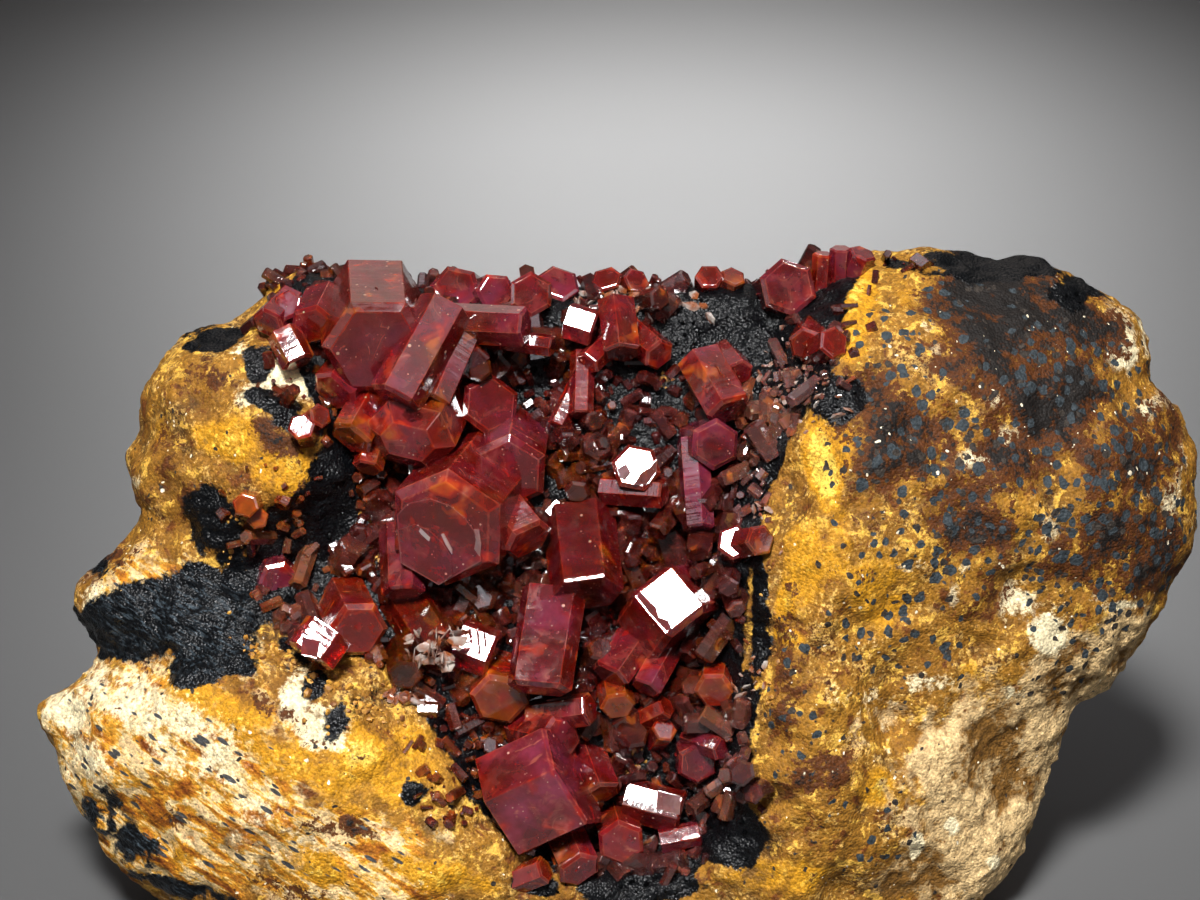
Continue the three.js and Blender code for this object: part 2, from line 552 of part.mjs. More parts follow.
const wholeRock = solidOf(rockGeometry());
const below = belowBase();
const behind = behindRim();
addPiece('matrix_rock', largest(wholeRock.subtract(below)), stone);

// A crystal is trimmed where it meets the rock, and where it touches a crystal that was set before
// it; both keep the gap. On the ridge the rock's surface turns upwards, so the gap does too.
const clearOfRock = wholeRock.translate(0, 0, GAP);
const clearOfRidge = wholeRock.translate(0, GAP, GAP);
const grownCrystals = [];
for (const [name, members] of Object.entries(CRYSTALS)) {
  const onRidge = members.some((m) => m.at[1] > RIDGE_Y);
  let solid = members.map((m) => solidOf(crystalGeometry(m))).reduce((a, b) => a.add(b));
  solid = solid.subtract(onRidge ? clearOfRidge : clearOfRock).subtract(below).subtract(behind);
  for (const neighbour of grownCrystals) solid = solid.subtract(neighbour);
  addPiece(name, largest(solid), vanadinite);
  grownCrystals.push(...members.map(clearance));
}

for (const [name, outline] of Object.entries(DRUSE_BEDS)) {
  let solid = bedSolid(outline, wholeRock).subtract(behind);
  for (const neighbour of grownCrystals) solid = solid.subtract(neighbour);
  addPiece(name, largest(solid), smallVanadinite);
}

// The part's frame: origin on the base, under the middle of the bounding box.
const specimen = new THREE.Group();
specimen.add(face);
const bounds = new THREE.Box3().setFromObject(specimen, true);
const middle = bounds.getCenter(new THREE.Vector3());
face.position.set(-middle.x, -middle.y, -bounds.min.z);

export default specimen;
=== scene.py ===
# Looks of a vanadinite specimen: red hexagonal crystals in a dark vug of a limonite rock.
#
# Everything is laid out on the crystal face, as in the CAD part: u runs to the right, v up the face
# and w straight out of it, in millimetres. `to_world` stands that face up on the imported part.
import math
import random

import bmesh
import bpy
import numpy as np
from mathutils import Matrix, Vector, noise


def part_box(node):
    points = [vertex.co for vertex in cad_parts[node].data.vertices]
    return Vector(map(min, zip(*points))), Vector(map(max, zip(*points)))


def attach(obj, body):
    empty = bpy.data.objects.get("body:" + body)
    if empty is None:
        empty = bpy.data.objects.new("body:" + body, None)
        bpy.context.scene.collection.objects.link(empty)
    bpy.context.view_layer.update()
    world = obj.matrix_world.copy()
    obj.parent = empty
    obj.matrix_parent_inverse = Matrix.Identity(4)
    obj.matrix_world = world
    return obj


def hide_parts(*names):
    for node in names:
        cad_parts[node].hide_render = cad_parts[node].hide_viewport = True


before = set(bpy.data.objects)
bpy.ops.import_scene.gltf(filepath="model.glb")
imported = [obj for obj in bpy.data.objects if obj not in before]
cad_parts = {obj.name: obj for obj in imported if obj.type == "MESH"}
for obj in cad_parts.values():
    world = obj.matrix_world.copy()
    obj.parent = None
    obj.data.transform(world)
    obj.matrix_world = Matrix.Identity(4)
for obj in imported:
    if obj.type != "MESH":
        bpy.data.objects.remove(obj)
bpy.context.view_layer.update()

MM = 0.001
LEAN = math.radians(20)  # the crystal face leans back from upright
RIGHT = Vector((1, 0, 0))
UP = Vector((0, math.sin(LEAN), math.cos(LEAN)))
OUT = Vector((0, -math.cos(LEAN), math.sin(LEAN)))
FACE = np.array([RIGHT, UP, OUT])

# The middle of the great hexagon's box, on the crystal face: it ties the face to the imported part.
GREAT_HEXAGON_AT = (-12.191, 35.231, 4.815)
low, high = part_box("great_hexagon")
ORIGIN = (low + high) / 2 - Vector(np.array(GREAT_HEXAGON_AT) @ FACE * MM)


def to_world(u, v, w):
    return ORIGIN + (RIGHT * u + UP * v + OUT * w) * MM


def direction(a, b, c):
    return (RIGHT * a + UP * b + OUT * c).normalized()


def linear(code):
    """An sRGB hex colour as the linear colour that shaders take."""
    parts = [int(code[i:i + 2], 16) / 255 for i in (1, 3, 5)]
    return tuple(c / 12.92 if c <= 0.04045 else ((c + 0.055) / 1.055) ** 2.4 for c in parts) + (1,)


def add(tree, kind, inputs=None, **settings):
    """Adds a node with its settings, and sets or links its inputs."""
    made = tree.nodes.new(kind)
    for name, value in settings.items():
        setattr(made, name, value)
    for name, value in (inputs or {}).items():
        if isinstance(value, bpy.types.NodeSocket):
            tree.links.new(value, made.inputs[name])
        else:
            made.inputs[name].default_value = value
    return made


def smooth(x, low, high):
    """Rises smoothly from 0 at low to 1 at high."""
    t = np.clip((x - low) / (high - low), 0, 1)
    return t * t * (3 - 2 * t)


def piece(name, mesh):
    """A finished object, at the origin."""
    made = bpy.data.objects.new(name, mesh)
    bpy.context.scene.collection.objects.link(made)
    return made


# ---- where things are on the crystal face ----
FLASH = (-0.04, 0.28, 0.96)  # the light-catching faces look this way, nearly parallel
TIP_BEVEL = 0.075  # width of a crystal's pyramid faces, as a share of its width
BEVEL_SLOPE = 0.8  # how far a pyramid face runs down the prism for each unit across

# Rim of the vug, clockwise from the upper left; it runs off the top of the rock.
VUG_RIM = [
    (-28.4, 60), (-29.7, 51.3), (-27, 45), (-25.4, 40), (-30.6, 36.6), (-33, 31), (-31.5, 26),
    (-27, 22.4), (-19.8, 19.6), (-16.2, 15.2), (-14, 10), (-9, 4.6), (-3.6, 0.8), (3.6, -0.4),
    (9, 1), (13, 5.4), (15, 11.7), (14.4, 18), (14, 23.4), (15, 30.6), (17, 37), (18.6, 42.3),
    (21.6, 46), (22.6, 50.4), (23.6, 54), (27, 60),
]


def prism(tip, size, axis, side, bevel=TIP_BEVEL, ends=1, slope=BEVEL_SLOPE):
    return dict(tip=tip, size=size, axis=axis, side=side, bevel=bevel, ends=ends, slope=slope)


# The crystals of each CAD node: middle of the tip, (wide, thick, long), axis, one face's direction.
CRYSTALS = {
    "block_crystal_top_left": [
        prism((-19.8, 49.4, 6.96), (9.6, 8.4, 10), (0.08, -0.42, 0.9), (0.04, 1, 0.3)),
    ],
    "crystals_left_of_block": [
        prism((-25.8, 51.6, 3.48), (4.2, 3.4, 5), (-0.15, -0.45, 0.88), (-0.3, 0.8, 0.3)),
        prism((-26.9, 48.2, 4.37), (3.2, 2.7, 2.9), (0.44, -0.84, 0.3), FLASH),
    ],
    "crystal_pair_left_rim": [
        prism((-29.9, 51.8, 2.18), (3.2, 2.7, 4), (-0.4, -0.5, 0.75), (0.2, 0.7, 0.6)),
        prism((-28.2, 53.6, 2.14), (3, 2.6, 4), (-0.25, 0.3, 0.9), (0.4, 0.8, 0.3)),
    ],
    "flash_crystal_left": [
        prism((-26.4, 42.6, 8.72), (2.6, 2.2, 4), FLASH, (0.7, 0.7, 0)),
        prism((-24.8, 43.6, 6.39), (2.4, 2, 3.2), (0.5, 0.3, 0.8), (0, 0.25, 0.97)),
    ],
    "crystal_under_block": [
        prism((-23.8, 45.6, 4.55), (4.8, 3.6, 5.4), (-0.45, -0.6, 0.66), (0.5, 0.5, 0.7)),
    ],
    "crystal_cluster_left_of_tablet": [
        prism((-22.2, 41.4, 5.65), (4.4, 3.2, 6), (-0.35, -0.7, 0.6), (0.6, 0.4, 0.6)),
        prism((-20.8, 38.8, 4.44), (2.8, 2.3, 4.6), (-0.2, -0.85, 0.5), (0, 0.25, 0.97)),
    ],
    "long_prism": [
        prism((-18.2, 44.9, 7.6), (5, 4, 9.5), (-0.44, -0.83, 0.3), (0.12, 0.2, 0.97)),
        prism((-14.9, 44.7, 5.48), (3.6, 3.2, 7), (-0.36, -0.86, 0.34), (0.55, 0.2, 0.8)),
    ],
    "bar_crystal_top": [
        prism((-6.6, 51.5, 4.65), (3.8, 3.4, 7.6), (0.96, -0.06, 0.3), (0, 0.12, 0.99)),
        prism((-4.2, 49.8, 3.5), (2, 1.8, 8), (0.95, -0.14, 0.28), (0, 0.25, 0.97)),
    ],
    "bevelled_tablet": [
        prism((-17.1, 41.2, 6.87), (8.6, 6.4, 7.5), (-0.2, -0.5, 0.84), (0.15, 0.85, 0.5), 0.17),
    ],
    "great_hexagon": [
        prism((-13.7, 33.4, 9.27), (11.4, 9.9, 10.5), (-0.27, -0.36, 0.89), (0.55, 0.8, 0.4)),
    ],
    "crystal_behind_great_hexagon": [
        prism((-8.2, 38.4, 5.16), (7.2, 6.2, 7), (-0.05, -0.38, 0.92), (0.55, 0.8, 0.3)),
    ],
    "crystal_right_of_great_hexagon": [
        prism((-6.3, 32.4, 6.68), (4.8, 3.6, 7), (0.5, -0.6, 0.62), (-0.1, 0.75, 0.65)),
    ],
    "square_crystal_below_hexagon": [
        prism((-17.5, 27.6, 6.06), (4, 3.3, 6), (0.06, -0.9, 0.44), (-0.08, 0.3, 0.95)),
    ],
    "red_twins_lower_left": [
        prism((-25.6, 22.2, 10.3), (4.8, 3.8, 2.6), (-0.56, -0.8, 0.2), FLASH),
        prism((-21.4, 24.5, 7.99), (5.8, 4.8, 7), (0.22, -0.3, 0.93), (-0.8, 0.5, 0.2)),
    ],
    "clear_crystal_lower_left": [
        prism((-14.2, 22.2, 5.94), (4.8, 3.7, 6.8), (0.48, -0.72, 0.5), (-0.15, 0.55, 0.8)),
    ],
    "pale_crystal_lower_left": [
        prism((-17.2, 20.5, 8.44), (3.4, 2.8, 4.4), (0.1, -0.45, 0.88), (0.2, 0.8, 0.4)),
    ],
    "kite_crystal_left": [
        prism((-28.6, 28.5, 3.39), (4.6, 3.3, 5), (0.16, -0.3, 0.94), (0.75, 0.6, 0.1)),
    ],
    "small_prisms_far_left": [
        prism((-31.4, 35.6, 7.95), (2.4, 2, 3.2), (-0.1, -0.1, 0.98), (0, 0.25, 0.97)),
        prism((-30.4, 34.5, 6.6), (2.2, 1.8, 2.8), (0.2, 0.2, 0.95), (0, 0.25, 0.97)),
    ],
    "block_crystal_centre": [
        prism((-1.1, 27.7, 6.54), (6.8, 5.2, 7.8), (0.1, -0.84, 0.54), (-0.1, 0.46, 0.88), 0.011, 1, 5),
    ],
    "great_flash_crystal": [
        prism((7.9, 24.1, 4.89), (8.4, 7.4, 5.4), (0.62, -0.74, 0.25), FLASH, TIP_BEVEL, 2),
    ],
    "post_crystal_centre": [
        prism((-5.4, 19.2, 8.36), (6, 3.2, 9), (-0.14, -0.92, 0.36), (-0.14, 0.3, 0.94)),
    ],
    "flash_prism_centre_left": [
        prism((-9.4, 22.2, 5.05), (4.6, 3.7, 2.9), (0.93, -0.34, 0.14), FLASH),
    ],
    "great_barrel_bottom": [
        prism((-2.3, 11.8, 7.47), (10.4, 7.8, 6.6), (0.86, 0.42, 0.26), (0.22, -0.26, 0.94), 0.03),
        prism((-3.4, 14.8, 6.73), (4.6, 3.8, 5), (0.62, -0.1, 0.78), (0.4, 0.8, 0.3)),
    ],
    "bar_crystal_above_barrel": [
        prism((-0.8, 17.5, 6.35), (3, 2.7, 5.4), (0.9, 0.16, 0.4), (-0.1, 0.3, 0.95)),
    ],
    "hexagon_lower_left": [
        prism((-9, 18.2, 5.83), (5.4, 4.6, 6.4), (-0.05, -0.42, 0.9), (0.15, 0.8, 0.55)),
    ],
    "crystal_right_of_barrel": [
        prism((0.3, 9.8, 4.89), (3.7, 2.8, 5.6), (0.3, -0.76, 0.58), (0.5, 0.3, 0.8)),
    ],
    "prism_pair_under_flash": [
        prism((0.8, 20.3, 5.49), (3.9, 3, 6.6), (-0.52, -0.72, 0.44), (-0.3, 0.3, 0.9)),
        prism((4, 19.2, 5.67), (3, 2.4, 4.6), (-0.44, -0.76, 0.46), (-0.3, 0.3, 0.9)),
    ],
    "orange_crystal_centre": [
        prism((1.6, 17.6, 5.76), (3.2, 2.6, 4), (0.1, -0.5, 0.86), (0, 0.25, 0.97)),
    ],
    "small_prism_centre_right": [
        prism((6, 17.6, 4.6), (2.3, 2, 4), (0.74, 0.4, 0.5), (0, 0.25, 0.97)),
        prism((5.8, 15.6, 4.53), (2.4, 2, 3.4), (0.3, 0.4, 0.86), (0, 0.25, 0.97)),
    ],
    "rounded_crystal_lower_right": [
        prism((10.2, 19, 6.43), (4, 3.3, 5), (-0.1, -0.42, 0.9), (0.8, 0.5, 0.2)),
    ],
    "prisms_lower_right": [
        prism((11, 13.9, 5.96), (2.6, 2.2, 4), (0.66, -0.2, 0.7), (0, 0.25, 0.97)),
        prism((8.8, 12.4, 4.45), (4.2, 3.6, 4.4), (0.1, -0.3, 0.95), (0.5, 0.8, 0.1)),
    ],
    "bright_crystals_bottom_right": [
        prism((7.4, 7.9, 2.96), (4.2, 3.7, 4.8), (0.93, -0.22, 0.2), FLASH),
        prism((9, 6.2, 3.42), (2.4, 2.1, 3.2), (0.9, 0.26, 0.24), FLASH),
    ],
    "hexagon_bottom": [
        prism((1.9, 5.4, 5.3), (4.4, 3.7, 5.4), (0.1, -0.28, 0.95), (0.4, 0.9, 0.1)),
    ],
    "crystal_bottom_edge": [
        prism((-1.8, 3.2, 7.6), (4, 3.1, 4.6), (0.3, -0.56, 0.78), (-0.5, 0.6, 0.6)),
    ],
    "bar_crystal_bottom_left": [
        prism((-4.8, 3.4, 7.9), (2.6, 2.2, 4.8), (0.82, 0.36, 0.44), (0, 0.25, 0.97)),
    ],
    "violet_hexagon_right": [
        prism((10.3, 41, 6.3), (4.9, 4.3, 6), (0.26, -0.04, 0.96), (-0.95, 0.05, 0.3)),
        prism((8.8, 33.4, 6.68), (2.9, 2.5, 8), (0.06, -0.94, 0.34), (-0.3, 0.2, 0.94)),
    ],
    "flash_crystals_upper_centre": [
        prism((3.2, 39, 5.52), (4.4, 3.8, 5), FLASH, (0.9, 0.3, 0)),
        prism((5.8, 36.6, 4.95), (2.9, 2.7, 5.4), (0.93, -0.06, 0.36), (0, 0.25, 0.97)),
    ],
    "flash_crystals_right_rim": [
        prism((11.9, 32.4, 8.75), (3.3, 2.8, 4.4), FLASH, (0.6, 0.8, 0)),
        prism((14.1, 32.6, 11.28), (2.9, 2.5, 4), (0.4, 0.1, 0.9), (0, 0.25, 0.97)),
    ],
    "bright_red_prisms_right": [
        prism((11.6, 43.9, 5.52), (4.7, 3.7, 5.8), (0.42, -0.76, 0.5), (0.36, 0.3, 0.88)),
        prism((12.6, 47.4, 2.68), (2.6, 2.2, 4.4), (0.3, -0.4, 0.85), (0, 0.25, 0.97)),
    ],
    "prism_pair_upper_centre": [
        prism((2, 49.1, 3.28), (3.8, 3, 4.8), (0.1, -0.88, 0.46), (0.45, 0.2, 0.87)),
        prism((-0.4, 51.4, 2.33), (3.4, 2.9, 2.2), (0.95, -0.3, 0.1), FLASH),
    ],
    "red_cube_upper_centre": [
        prism((5.4, 49, 2.17), (3.1, 2.6, 4), (0.5, -0.46, 0.73), (0, 0.25, 0.97)),
    ],
    "curved_stack_upper_centre": [
        prism((-1.2, 48.2, 2.81), (2.6, 2.1, 4), (-0.56, -0.56, 0.6), (0, 0.25, 0.97)),
        prism((-1.7, 43.6, 3.24), (2.2, 1.9, 5.6), (-0.02, -0.92, 0.38), (0, 0.25, 0.97)),
        prism((-3.9, 42.6, 2.66), (1.8, 1.6, 6), (-0.42, -0.85, 0.3), (0, 0.25, 0.97)),
    ],
    "round_crystal_top_right": [
        prism((17, 55.2, 1.4), (5.4, 4.6, 6), (0.1, 0.08, 0.98), (0.3, 0.9, 0)),
    ],
    "upright_blades_top_right": [
        prism((20.2, 58.3, 0), (2, 1.7, 5.6), (0.05, 0.93, 0.36), (0, 0.25, 0.97)),
        prism((21.8, 58.8, 0), (2, 1.8, 6), (0.02, 0.93, 0.36), (0, 0.25, 0.97)),
        prism((23.8, 58.4, 0), (2.6, 2.2, 6), (0.3, 0.8, 0.5), (0, 0.25, 0.97)),
    ],
    "red_cluster_right_rim": [
        prism((18.4, 49.8, 6.05), (3.4, 2.8, 4.4), (-0.2, -0.3, 0.93), (0, 0.25, 0.97)),
        prism((20.7, 50, 8.87), (3, 2.5, 4), (0.35, 0.2, 0.9), (0, 0.25, 0.97)),
    ],
    "dark_ridge_crystals": [
        prism((-13.2, 55, -2), (5, 4.2, 6.5), (-0.15, 0.1, 0.98), (0.2, 0.95, 0.1)),
        prism((-9.4, 54.8, -0.16), (3.8, 3.2, 6), (0.22, 0.05, 0.97), (0.1, 0.95, 0.1)),
    ],
    "ridge_hexagons_top_centre": [
        prism((-6.2, 54.6, 0.92), (4.2, 3.6, 5.5), (0.1, 0.06, 0.99), (0.5, 0.85, 0)),
        prism((-3.8, 55.8, -2.8), (4.2, 3.4, 5.5), (0.1, 0.5, 0.85), (0, 0.25, 0.97)),
    ],
    "ridge_crystals_top": [
        prism((0.6, 56.2, -3), (3, 2.4, 4.4), (-0.1, 0.55, 0.82), (0, 0.25, 0.97)),
        prism((3.4, 56, -3.2), (2.6, 2.2, 4), (0.4, 0.4, 0.82), (0, 0.25, 0.97)),
    ],
    "ridge_crystals_top_right": [
        prism((10, 56.4, -3.2), (2.8, 2.4, 4), (0, 0.5, 0.86), (0, 0.25, 0.97)),
        prism((12.2, 56.4, -3.4), (2.4, 2, 3.6), (0.2, 0.6, 0.76), (0, 0.25, 0.97)),
    ],
    "deep_crystal_centre": [
        prism((-9.8, 44.6, 2.72), (5.6, 4.8, 6), (0.26, 0.12, 0.95), (0.6, 0.8, 0)),
    ],
    "clear_crystal_upper_centre": [
        prism((-11.4, 48.2, 3.66), (3.4, 2.9, 5.4), (0.2, -0.45, 0.86), (0, 0.25, 0.97)),
    ],
}
# Warmth of each crystal's red: 0 mauve, 0.5 crimson, 1 orange.
WARMTH = {
    "block_crystal_top_left": 0.55, "crystals_left_of_block": 0.5, "crystal_pair_left_rim": 0.5,
    "flash_crystal_left": 0.55, "crystal_under_block": 0.62, "crystal_cluster_left_of_tablet": 0.8,
    "long_prism": 0.42, "bar_crystal_top": 0.36, "bevelled_tablet": 0.5, "great_hexagon": 0.42,
    "crystal_behind_great_hexagon": 0.3, "crystal_right_of_great_hexagon": 0.55,
    "square_crystal_below_hexagon": 0.32, "red_twins_lower_left": 0.62, "clear_crystal_lower_left": 0.8,
    "pale_crystal_lower_left": 0.85, "kite_crystal_left": 0.16, "small_prisms_far_left": 0.95,
    "block_crystal_centre": 0.5, "great_flash_crystal": 0.42, "post_crystal_centre": 0.3,
    "flash_prism_centre_left": 0.4, "great_barrel_bottom": 0.24, "bar_crystal_above_barrel": 0.45,
    "hexagon_lower_left": 0.76, "crystal_right_of_barrel": 0.38, "prism_pair_under_flash": 0.42,
    "orange_crystal_centre": 0.88, "small_prism_centre_right": 0.6, "rounded_crystal_lower_right": 0.74,
    "prisms_lower_right": 0.42, "bright_crystals_bottom_right": 0.4, "hexagon_bottom": 0.6,
    "crystal_bottom_edge": 0.56, "bar_crystal_bottom_left": 0.62, "violet_hexagon_right": 0.06,
    "flash_crystals_upper_centre": 0.42, "flash_crystals_right_rim": 0.58, "bright_red_prisms_right": 0.48,
    "prism_pair_upper_centre": 0.42, "red_cube_upper_centre": 0.5, "curved_stack_upper_centre": 0.52,
    "round_crystal_top_right": 0.26, "upright_blades_top_right": 0.46, "red_cluster_right_rim": 0.5,
    "dark_ridge_crystals": 0.36, "ridge_hexagons_top_centre": 0.4, "ridge_crystals_top": 0.46,
    "ridge_crystals_top_right": 0.5, "deep_crystal_centre": 0.34, "clear_crystal_upper_centre": 0.36,
}
# How clear a crystal is, where it differs from the rest.
CLEAR = {
    "block_crystal_top_left": 0.52, "crystal_cluster_left_of_tablet": 0.5, "red_twins_lower_left": 0.45,
    "clear_crystal_lower_left": 0.75, "pale_crystal_lower_left": 0.85, "block_crystal_centre": 0.62,
    "great_barrel_bottom": 0.22, "hexagon_lower_left": 0.35, "orange_crystal_centre": 0.5,
    "prisms_lower_right": 0.5, "bright_crystals_bottom_right": 0.5, "flash_crystals_right_rim": 0.5,
    "clear_crystal_upper_centre": 0.7,
}
PLAIN_CLEAR = 0.38
DRUSE_BEDS = [
    "druse_bed_ridge", "druse_bed_right_rim", "druse_bed_upper_centre", "druse_bed_centre_right",
    "druse_bed_left_ledge", "druse_bed_lower_left", "druse_bed_lower_right",
]

# Stains and crusts of the rock: (u, v, half width, half height, turn in degrees, strength).
CRUST = [
    (36.4, 57.4, 8.1, 1.6, 4, 1.2), (43.4, 55.1, 3.1, 1.6, 25, 1.0), (27.4, 57.4, 2.3, 0.7, 0, 0.8),
    (21.1, 45.0, 2.3, 2.2, 0, 1.1), (19.1, 49.9, 1.3, 1.3, 0, 0.5), (14.1, 26.1, 0.8, 6.8, 0, 1.2),
    (12.8, 18.0, 1.1, 3.6, 0, 1.0), (11.5, 6.5, 2.9, 2.7, 0, 1.3), (3.6, 1.4, 5.4, 1.6, 0, 1.2),
    (-5.4, 1.8, 2.7, 0.9, -15, 1.0), (-37.8, 25.9, 9.4, 3.4, 12, 1.6),
    (-33.8, 22.1, 5.0, 2.0, 20, 1.2), (-34.9, 34.2, 2.5, 3.1, 0, 1.0),
    (-32.4, 31.0, 2.7, 2.7, 0, 1.0), (-24.1, 35.5, 2.3, 5.9, 0, 1.3),
    (-22.3, 41.4, 2.0, 2.7, 0, 1.0), (-25.4, 30.6, 2.2, 1.8, 0, 1.0),
    (-35.3, 50.6, 2.5, 1.1, 8, 1.3), (-30.7, 48.4, 1.5, 1.6, 0, 1.2),
    (-29.2, 44.8, 2.5, 1.0, -20, 1.2), (-26.8, 42.5, 2.2, 1.1, -20, 1.0),
    (-25.2, 19.7, 1.3, 1.2, 0, 1.3), (-23.0, 16.9, 1.3, 1.6, -30, 0.9),
    (-21.4, 17.8, 0.9, 1.6, 0, 0.9), (-16.2, 10.3, 1.3, 1.2, 0, 1.1),
    (-19.3, 18.9, 1.8, 1.1, 0, 0.7), (-45.0, 7.6, 2.0, 3.1, -40, 0.75),
    (-41.4, 4.5, 3.2, 1.8, -35, 0.75), (-37.8, 0.9, 5.4, 1.1, -10, 0.9),
    (-27.0, 22.9, 3.6, 1.4, -15, 0.6), (-45.4, 29.7, 2.0, 0.9, 0, 0.7),
]
STAIN = [
    (36.0, 54.0, 6.3, 4.1, 0, 1.1), (42.3, 51.3, 5.4, 3.6, 0, 0.9), (40.5, 46.4, 5.9, 4.1, 0, 0.9),
    (37.4, 40.5, 5.0, 3.6, 0, 0.75), (26.1, 40.9, 4.1, 3.6, 0, 0.8), (32.4, 34.2, 4.0, 4.0, 0, 0.7),
    (46.8, 38.7, 5.0, 4.5, 0, 0.75), (48.6, 30.6, 4.5, 3.2, 0, 0.85),
    (43.2, 30.6, 4.0, 2.7, 0, 0.7), (32.9, 27.9, 3.6, 3.2, 0, 0.5), (23.4, 45.0, 4.0, 3.2, 0, 0.75),
    (26.1, 42.3, 5.4, 3.6, 0, 0.8), (34.6, 50.4, 4.5, 5.4, 20, 1.0),
    (39.6, 45.0, 4.5, 5.4, 20, 1.0), (33.3, 33.8, 4.5, 2.7, 0, 0.8), (46.8, 32.4, 5.4, 4.5, 0, 0.8),
    (16.6, 18.9, 1.8, 8.1, 0, 0.5), (18.9, 12.2, 2.7, 2.7, 0, 0.55), (16.2, 9.0, 2.2, 2.7, 0, 0.35),
    (23.2, 36.0, 2.2, 4.5, 0, 0.3), (51.3, 41.4, 2.0, 5.4, 0, 0.6),
    (-35.5, 46.4, 3.1, 2.2, 0, 0.45), (-39.1, 38.7, 2.2, 3.2, 0, 0.4),
    (-36.4, 35.5, 2.5, 2.5, 0, 0.55), (-39.6, 27.9, 3.1, 1.4, 15, 0.6),
    (-28.8, 41.4, 2.3, 1.6, -20, 0.7), (-27.0, 37.8, 2.7, 1.8, 0, 0.4),
    (-42.3, 21.6, 4.5, 0.9, -15, 0.4), (-31.5, 18.9, 4.5, 0.9, -20, 0.5),
    (-36.0, 21.6, 5.4, 0.9, -10, 0.5), (-45.0, 29.7, 3.2, 1.6, 20, 0.5),
    (-22.9, 7.6, 3.6, 1.1, -10, 0.6), (-27.0, 0.9, 5.4, 1.3, -10, 0.5),
    (-38.7, 9.0, 3.6, 1.8, -30, 0.3), (-18.9, 23.4, 2.7, 1.3, 0, 0.4),
]
CREAM = [
    (-28.3, 47.0, 3.1, 2.2, 0, 1.1), (-30.4, 45.4, 2.3, 1.3, 0, 0.9),
    (-32.4, 49.3, 1.3, 0.9, 0, 0.7), (-26.8, 18.9, 1.6, 2.3, -20, 1.1),
    (-24.3, 16.0, 2.7, 2.0, -30, 0.9), (45.4, 51.8, 0.8, 2.0, 20, 1.1),
    (47.5, 49.9, 1.3, 2.5, 15, 1.2), (49.9, 51.3, 0.9, 2.2, 0, 0.8), (49.7, 44.1, 1.1, 1.3, 0, 0.8),
    (36.0, 41.4, 1.4, 1.8, -10, 1.1), (33.5, 39.8, 2.0, 1.1, 0, 1.1),
    (35.1, 44.8, 1.3, 0.8, 0, 0.9), (40.0, 23.9, 2.0, 1.8, 0, 1.3),
    (36.9, 26.8, 1.4, 2.2, -20, 0.7), (31.3, 27.7, 0.8, 1.4, 0, 0.9),
    (32.2, 30.1, 0.7, 0.8, 0, 0.9), (48.6, 38.2, 1.3, 0.9, 0, 0.8), (52.2, 37.8, 0.7, 2.7, 0, 0.7),
    (29.9, 49.3, 0.9, 0.8, 0, 0.7), (28.4, 5.0, 0.7, 1.3, 0, 1.4), (31.7, 6.7, 0.7, 0.9, 0, 1.3),
    (36.9, 18.7, 1.1, 0.8, 0, 0.8), (23.4, 18.4, 3.6, 1.6, -10, 0.55),
    (26.1, 14.8, 2.7, 1.8, 0, 0.5), (29.2, 19.8, 2.2, 1.3, 0, 0.7), (-48.6, 16.9, 2.2, 2.5, 0, 1.0),
    (-43.2, 18.9, 5.4, 2.7, -10, 0.85), (-36.9, 15.3, 7.2, 3.6, -25, 0.75),
    (-45.9, 12.6, 3.6, 3.2, 0, 0.7), (-30.6, 9.0, 7.2, 3.6, -30, 0.55),
    (-19.8, 3.6, 5.4, 1.8, -20, 0.4), (-40.5, 22.1, 3.6, 1.3, -10, 0.7),
    (-46.4, 27.0, 1.3, 2.7, -20, 0.8), (-44.1, 29.7, 1.6, 0.7, 0, 0.6),
    (-32.4, 54.0, 0.9, 0.5, 0, 0.5), (-41.4, 38.0, 1.1, 0.7, 0, 0.7),
    (46.8, 29.2, 1.8, 0.7, 0, 0.7), (43.2, 27.0, 3.6, 0.7, 15, 0.6), (35.5, 3.1, 0.8, 0.7, 0, 1.0),
    (53.1, 40.0, 0.5, 1.8, 0, 0.6), (37.4, 42.1, 1.8, 1.4, 0, 1.0),
    (46.8, 50.9, 2.3, 3.6, 15, 0.95), (37.8, 26.6, 2.0, 1.6, 0, 0.9),
    (41.4, 38.7, 0.9, 0.7, 0, 0.7), (42.8, 40.5, 0.7, 0.9, 0, 0.7), (29.2, 51.3, 1.8, 1.1, 0, 0.6),
    (41.9, 54.0, 1.6, 0.9, 0, 0.7), (38.7, 54.9, 1.1, 0.7, 0, 0.6), (51.1, 44.8, 1.8, 1.3, 0, 0.8),
    (49.2, 36.9, 1.3, 1.1, 0, 0.9), (51.5, 36.0, 1.3, 2.2, 0, 0.8), (47.2, 26.5, 2.3, 0.5, 0, 0.9),
    (44.1, 42.3, 1.1, 0.9, 0, 0.6), (45.7, 36.0, 0.9, 0.7, 0, 0.7), (32.4, 36.0, 1.4, 0.7, 0, 0.6),
    (27.4, 30.6, 1.3, 0.9, 0, 0.5), (24.3, 23.4, 1.1, 0.9, 0, 0.5), (40.0, 33.3, 1.1, 1.4, 0, 0.7),
    (34.6, 34.2, 1.1, 0.7, 0, 0.6),
]
